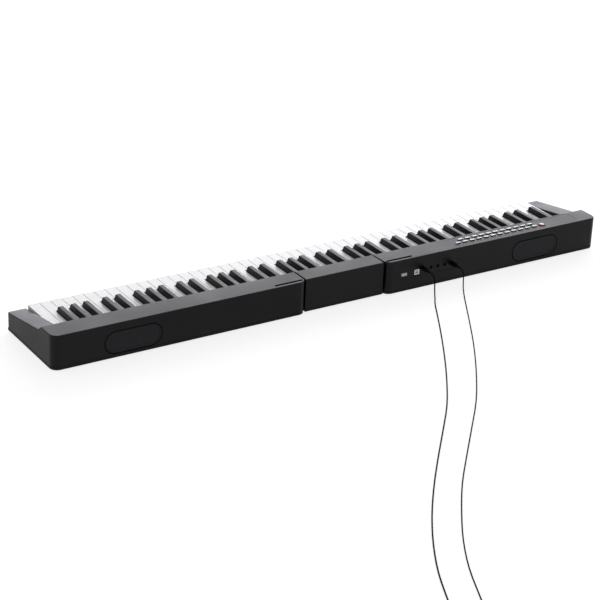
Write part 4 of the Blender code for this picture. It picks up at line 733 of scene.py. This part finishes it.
def lens_with_painted_highlight(name):
    material, tree = new_material(name)
    place = add_node(tree, "ShaderNodeTexCoord").outputs["Object"]
    swirl = add_node(tree, "ShaderNodeTexNoise", inputs={"Vector": place, "Scale": 1000 / 3, "Detail": 2.0})
    tint = add_node(tree, "ShaderNodeMix", {"data_type": "RGBA"}, {
        # Pink tones: the red of the lens lightened by painted highlight.
        0: swirl.outputs["Fac"], MIX_A: srgb("d98088"), MIX_B: srgb("c8606a")})
    shader = add_node(tree, "ShaderNodeBsdfPrincipled", inputs={
        "Base Color": tint.outputs[MIX_COLOUR], "Roughness": 0.2, "IOR": 1.49, "Coat Weight": 0.5,
        "Coat Roughness": 0.05})
    add_node(tree, "ShaderNodeOutputMaterial", inputs={"Surface": shader.outputs["BSDF"]})
    return material


FINISHES["power_abs"] = grained_plastic("Gloss black ABS", "08080a", "161618", 0.3, 2.0, 0.01, 0.08)
painted_highlight_lens_finish = lens_with_painted_highlight("Red acrylic, painted pink highlight")

# %% [markdown]
# ### Circuit board and battery
# These only show if the case is opened, but each still gets its own surface: solder mask over copper
# tracks, and a shrink film with fine creases.

# %% Board and battery


def solder_mask(name):
    material, tree = new_material(name)
    place = add_node(tree, "ShaderNodeTexCoord").outputs["Object"]
    tracks = add_node(tree, "ShaderNodeTexBrick", inputs={
        "Vector": place, "Scale": 1000 / 8, "Mortar Size": 0.06, "Color1": srgb("1c5230"), "Color2": srgb("1f5a35"),
        "Mortar": srgb("2f7a45")})
    bump = add_node(tree, "ShaderNodeBump", inputs={
        "Height": tracks.outputs["Fac"], "Strength": 0.4, "Distance": 0.03 * MM})
    shader = add_node(tree, "ShaderNodeBsdfPrincipled", inputs={
        "Base Color": tracks.outputs["Color"], "Roughness": 0.35, "IOR": 1.5, "Normal": bump.outputs["Normal"]})
    add_node(tree, "ShaderNodeOutputMaterial", inputs={"Surface": shader.outputs["BSDF"]})
    return material


FINISHES["circuit_laminate"] = solder_mask("Green solder mask")
FINISHES["battery_wrap"] = soft_plastic("Blue shrink film", "1f3f86", "2a4f9c", 0.3, 2.5, 0.15)

# %% [markdown]
# ### Perforated steel of the speakers
# The sheet has round holes 2.2 mm apart in a diagonal pattern, painted black. A cell pattern without
# randomness gives the regular grid, and turning it by 45 degrees makes it diagonal.

# %% Perforated sheet


def perforated_steel(name):
    material, tree = new_material(name)
    place = add_node(tree, "ShaderNodeTexCoord").outputs["Object"]
    laid = add_node(tree, "ShaderNodeMapping", inputs={
        "Vector": place, "Rotation": (math.radians(90), 0, math.radians(45))})
    cells = add_node(tree, "ShaderNodeTexVoronoi", {"voronoi_dimensions": "2D"}, {
        "Vector": laid.outputs[0], "Scale": 1000 / 2.2, "Randomness": 0.0})
    web = add_node(tree, "ShaderNodeMapRange", {"interpolation_type": "SMOOTHSTEP"}, {
        "Value": cells.outputs["Distance"], "From Min": 0.28, "From Max": 0.36, "To Min": 0.0, "To Max": 1.0})
    tint = add_node(tree, "ShaderNodeMix", {"data_type": "RGBA"}, {
        0: web.outputs["Result"], MIX_A: srgb("060607"), MIX_B: srgb("2a2a30")})
    gloss = add_node(tree, "ShaderNodeMapRange", inputs={
        "Value": web.outputs["Result"], "To Min": 0.95, "To Max": 0.5})
    bump = add_node(tree, "ShaderNodeBump", inputs={
        "Height": web.outputs["Result"], "Strength": 1.0, "Distance": 0.3 * MM})
    shader = add_node(tree, "ShaderNodeBsdfPrincipled", inputs={
        "Base Color": tint.outputs[MIX_COLOUR], "Roughness": gloss.outputs["Result"], "IOR": 1.5,
        "Specular IOR Level": 0.22, "Normal": bump.outputs["Normal"]})
    add_node(tree, "ShaderNodeOutputMaterial", inputs={"Surface": shader.outputs["BSDF"]})
    return material


mesh_finish = perforated_steel("Painted perforated steel")

# %% [markdown]
# ### Plugs with a metal contact
# A far plug is one solid: a vinyl handle and a nickel-plated contact. The contact is told from the
# handle by its place along X, and the jack contact also has two black insulating rings.

# %% Plug finishes


def plug_finish(name, edge_x, towards, rings=()):
    """Vinyl handle, and metal beyond edge_x in the direction of towards, plus or minus one."""
    material, tree = new_material(name)
    place = add_node(tree, "ShaderNodeTexCoord").outputs["Object"]
    x = add_node(tree, "ShaderNodeSeparateXYZ", inputs={0: place}).outputs["X"]
    metal = add_node(tree, "ShaderNodeMath", {"operation": "GREATER_THAN" if towards > 0 else "LESS_THAN"}, {
        0: x, 1: edge_x}).outputs[0]
    for middle in rings:
        ring = add_node(tree, "ShaderNodeMath", {"operation": "COMPARE"}, {0: x, 1: middle, 2: 0.5 * MM})
        metal = add_node(tree, "ShaderNodeMath", {"operation": "SUBTRACT", "use_clamp": True}, {
            0: metal, 1: ring.outputs[0]}).outputs[0]
    grain = add_node(tree, "ShaderNodeTexNoise", inputs={"Vector": place, "Scale": 1000 / 0.8, "Detail": 3.0})
    vinyl = add_node(tree, "ShaderNodeMix", {"data_type": "RGBA"}, {
        0: grain.outputs["Fac"], MIX_A: srgb("080809"), MIX_B: srgb("0f0f10")})
    tint = add_node(tree, "ShaderNodeMix", {"data_type": "RGBA"}, {
        0: metal, MIX_A: vinyl.outputs[MIX_COLOUR], MIX_B: srgb("d6d4cf")})
    gloss = add_node(tree, "ShaderNodeMapRange", inputs={"Value": metal, "To Min": 0.5, "To Max": 0.22})
    bump = add_node(tree, "ShaderNodeBump", inputs={
        "Height": grain.outputs["Fac"], "Strength": 0.3, "Distance": 0.02 * MM})
    shader = add_node(tree, "ShaderNodeBsdfPrincipled", inputs={
        "Base Color": tint.outputs[MIX_COLOUR], "Roughness": gloss.outputs["Result"], "Metallic": metal,
        "Specular IOR Level": 0.2, "Normal": bump.outputs["Normal"]})
    add_node(tree, "ShaderNodeOutputMaterial", inputs={"Surface": shader.outputs["BSDF"]})
    return material


power_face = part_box("dc_far_plug")[1].x
audio_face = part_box("audio_far_plug")[0].x
NODE_FINISHES = {
    "dc_far_plug": plug_finish("Vinyl plug with steel shell", power_face - 12 * MM, 1),
    "audio_far_plug": plug_finish("Vinyl plug with nickel contact", audio_face + 30 * MM, -1,
                                  (audio_face + 8 * MM, audio_face + 16 * MM)),
}

# %% [markdown]
# ## Every part gets its finish
# The record says which material slot each solid takes, so one loop dresses them all.

# %% Dress the parts
PIECE_FINISHES = {power_lead: FINISHES["lead_pvc"], audio_lead: FINISHES["lead_pvc"], power_tie: tie_finish,
                  audio_tie: tie_finish, power_lens: painted_highlight_lens_finish}
for rim, sheet, shadow_strip in speaker_trim.values():
    PIECE_FINISHES |= {rim: FINISHES["grille_abs"], sheet: mesh_finish, shadow_strip: shadow_strip_finish}
for shell, tongue in ports:
    PIECE_FINISHES |= {shell: nickel_finish, tongue: white_tongue_finish}
PIECE_FINISHES |= {collar: FINISHES["grille_abs"] for collar in collars}
PIECE_FINISHES |= {screw: FINISHES["zinc_steel"] for screw in screws}

for entry in frame["record"]["subparts"]:
    node = nodes[entry["node"]]
    node.data.materials.clear()
    node.data.materials.append(NODE_FINISHES.get(entry["node"], FINISHES[entry["material_slot"]]))
for piece, finish in PIECE_FINISHES.items():
    piece.data.materials.append(finish)
print("finishes on", len(nodes), "solids and", len(PIECE_FINISHES), "pieces")

# %% [markdown]
# ## Edges that catch the light
# No moulded edge is perfectly sharp. The solids come with flat triangles, so they are welded, their
# flat faces are merged, and only then is a small rounding put on the real edges.

# %% Round the edges


def soften(name, width_mm):
    node = nodes[name]
    node.data.shade_smooth()
    weld = node.modifiers.new("weld", "WELD")
    weld.merge_threshold = 0.001 * MM
    flatten = node.modifiers.new("merge_flat_faces", "DECIMATE")
    flatten.decimate_type = "DISSOLVE"
    flatten.angle_limit = math.radians(0.5)
    rounding = node.modifiers.new("round_edges", "BEVEL")
    rounding.width = width_mm * MM
    rounding.segments = 2
    rounding.limit_method = "ANGLE"
    rounding.angle_limit = math.radians(50)
    rounding.use_clamp_overlap = False
    rounding.miter_outer = "MITER_ARC"
    normals = node.modifiers.new("even_normals", "WEIGHTED_NORMAL")
    normals.mode = "FACE_AREA"


for name in nodes:
    if name.startswith("keys_black"):
        soften(name, 0.35)
    elif name.startswith("keys_"):
        soften(name, 0.4)
    elif name.startswith("keypad"):
        soften(name, 0.5)
    elif name.endswith("top_shell") or name == "hinge_block_cover":
        soften(name, 0.6)
    elif name.endswith("bottom_tray") or name == "hinge_block_base":
        soften(name, 0.4)
print("edges rounded")

# %% [markdown]
# ## Studio
# A white table catches a soft shadow. The world is plain white where the camera or a glossy surface
# looks at it, and dimmer where it only lights the object, so that the white keys don't burn out.

# %% Floor, world and lamps
FLOOR_LIFT = 0.77
SKY_FILL = 0.42


def rays_that_see(tree):
    """One for camera, glossy and transmission rays, otherwise nought."""
    path = add_node(tree, "ShaderNodeLightPath")
    seen = add_node(tree, "ShaderNodeMath", {"operation": "MAXIMUM"}, {
        0: path.outputs["Is Camera Ray"], 1: path.outputs["Is Glossy Ray"]})
    return add_node(tree, "ShaderNodeMath", {"operation": "MAXIMUM"}, {
        0: seen.outputs[0], 1: path.outputs["Is Transmission Ray"]}).outputs[0]


def white_table_material():
    material, tree = new_material("Matt white table")
    place = add_node(tree, "ShaderNodeTexCoord").outputs["Object"]
    fibre = add_node(tree, "ShaderNodeTexNoise", inputs={"Vector": place, "Scale": 400.0, "Detail": 2.0})
    tint = add_node(tree, "ShaderNodeMix", {"data_type": "RGBA"}, {
        0: fibre.outputs["Fac"], MIX_A: srgb("b6b6b6"), MIX_B: srgb("b2b2b2")})
    paper = add_node(tree, "ShaderNodeBsdfDiffuse", inputs={"Color": tint.outputs[MIX_COLOUR]})
    strength = add_node(tree, "ShaderNodeMath", {"operation": "MULTIPLY"}, {0: rays_that_see(tree), 1: FLOOR_LIFT})
    glow = add_node(tree, "ShaderNodeEmission", inputs={"Strength": strength.outputs[0]})
    both = add_node(tree, "ShaderNodeAddShader", inputs={0: paper.outputs[0], 1: glow.outputs[0]})
    add_node(tree, "ShaderNodeOutputMaterial", inputs={"Surface": both.outputs[0]})
    return material


def add_floor():
    mesh = bpy.data.meshes.new("studio_floor")
    reach = 30.0
    mesh.from_pydata([(-reach, -reach, 0), (reach, -reach, 0), (reach, reach, 0), (-reach, reach, 0)], [],
                     [(0, 1, 2, 3)])
    floor = bpy.data.objects.new("studio_floor", mesh)
    mesh.materials.append(white_table_material())
    bpy.context.collection.objects.link(floor)
    return floor


def set_world():
    world = bpy.data.worlds.new("studio_world")
    world.use_nodes = True
    tree = world.node_tree
    tree.nodes.clear()
    dim = add_node(tree, "ShaderNodeBackground", inputs={"Color": srgb("ffffff"), "Strength": SKY_FILL})
    bright = add_node(tree, "ShaderNodeBackground", inputs={"Color": srgb("ffffff"), "Strength": 1.0})
    mix = add_node(tree, "ShaderNodeMixShader", inputs={0: rays_that_see(tree), 1: dim.outputs[0], 2: bright.outputs[0]})
    add_node(tree, "ShaderNodeOutputWorld", inputs={"Surface": mix.outputs[0]})
    bpy.context.scene.world = world


def add_softbox(name, place, aim, size, power):
    data = bpy.data.lights.new(name, "AREA")
    data.shape = "RECTANGLE"
    data.size, data.size_y = size
    data.energy = power
    data.color = srgb("f8f7ff")[:3]
    lamp = bpy.data.objects.new(name, data)
    bpy.context.collection.objects.link(lamp)
    lamp.location = place
    lamp.rotation_euler = (Vector(aim) - Vector(place)).to_track_quat("-Z", "Y").to_euler()
    return lamp


add_floor()
set_world()
add_softbox("far_softbox", (-1.8, -2.4, 1.2), (-0.1, 0.0, 0.05), (4.6, 2.4), 115)
bpy.context.scene.view_settings.view_transform = "Standard"
print("studio ready")
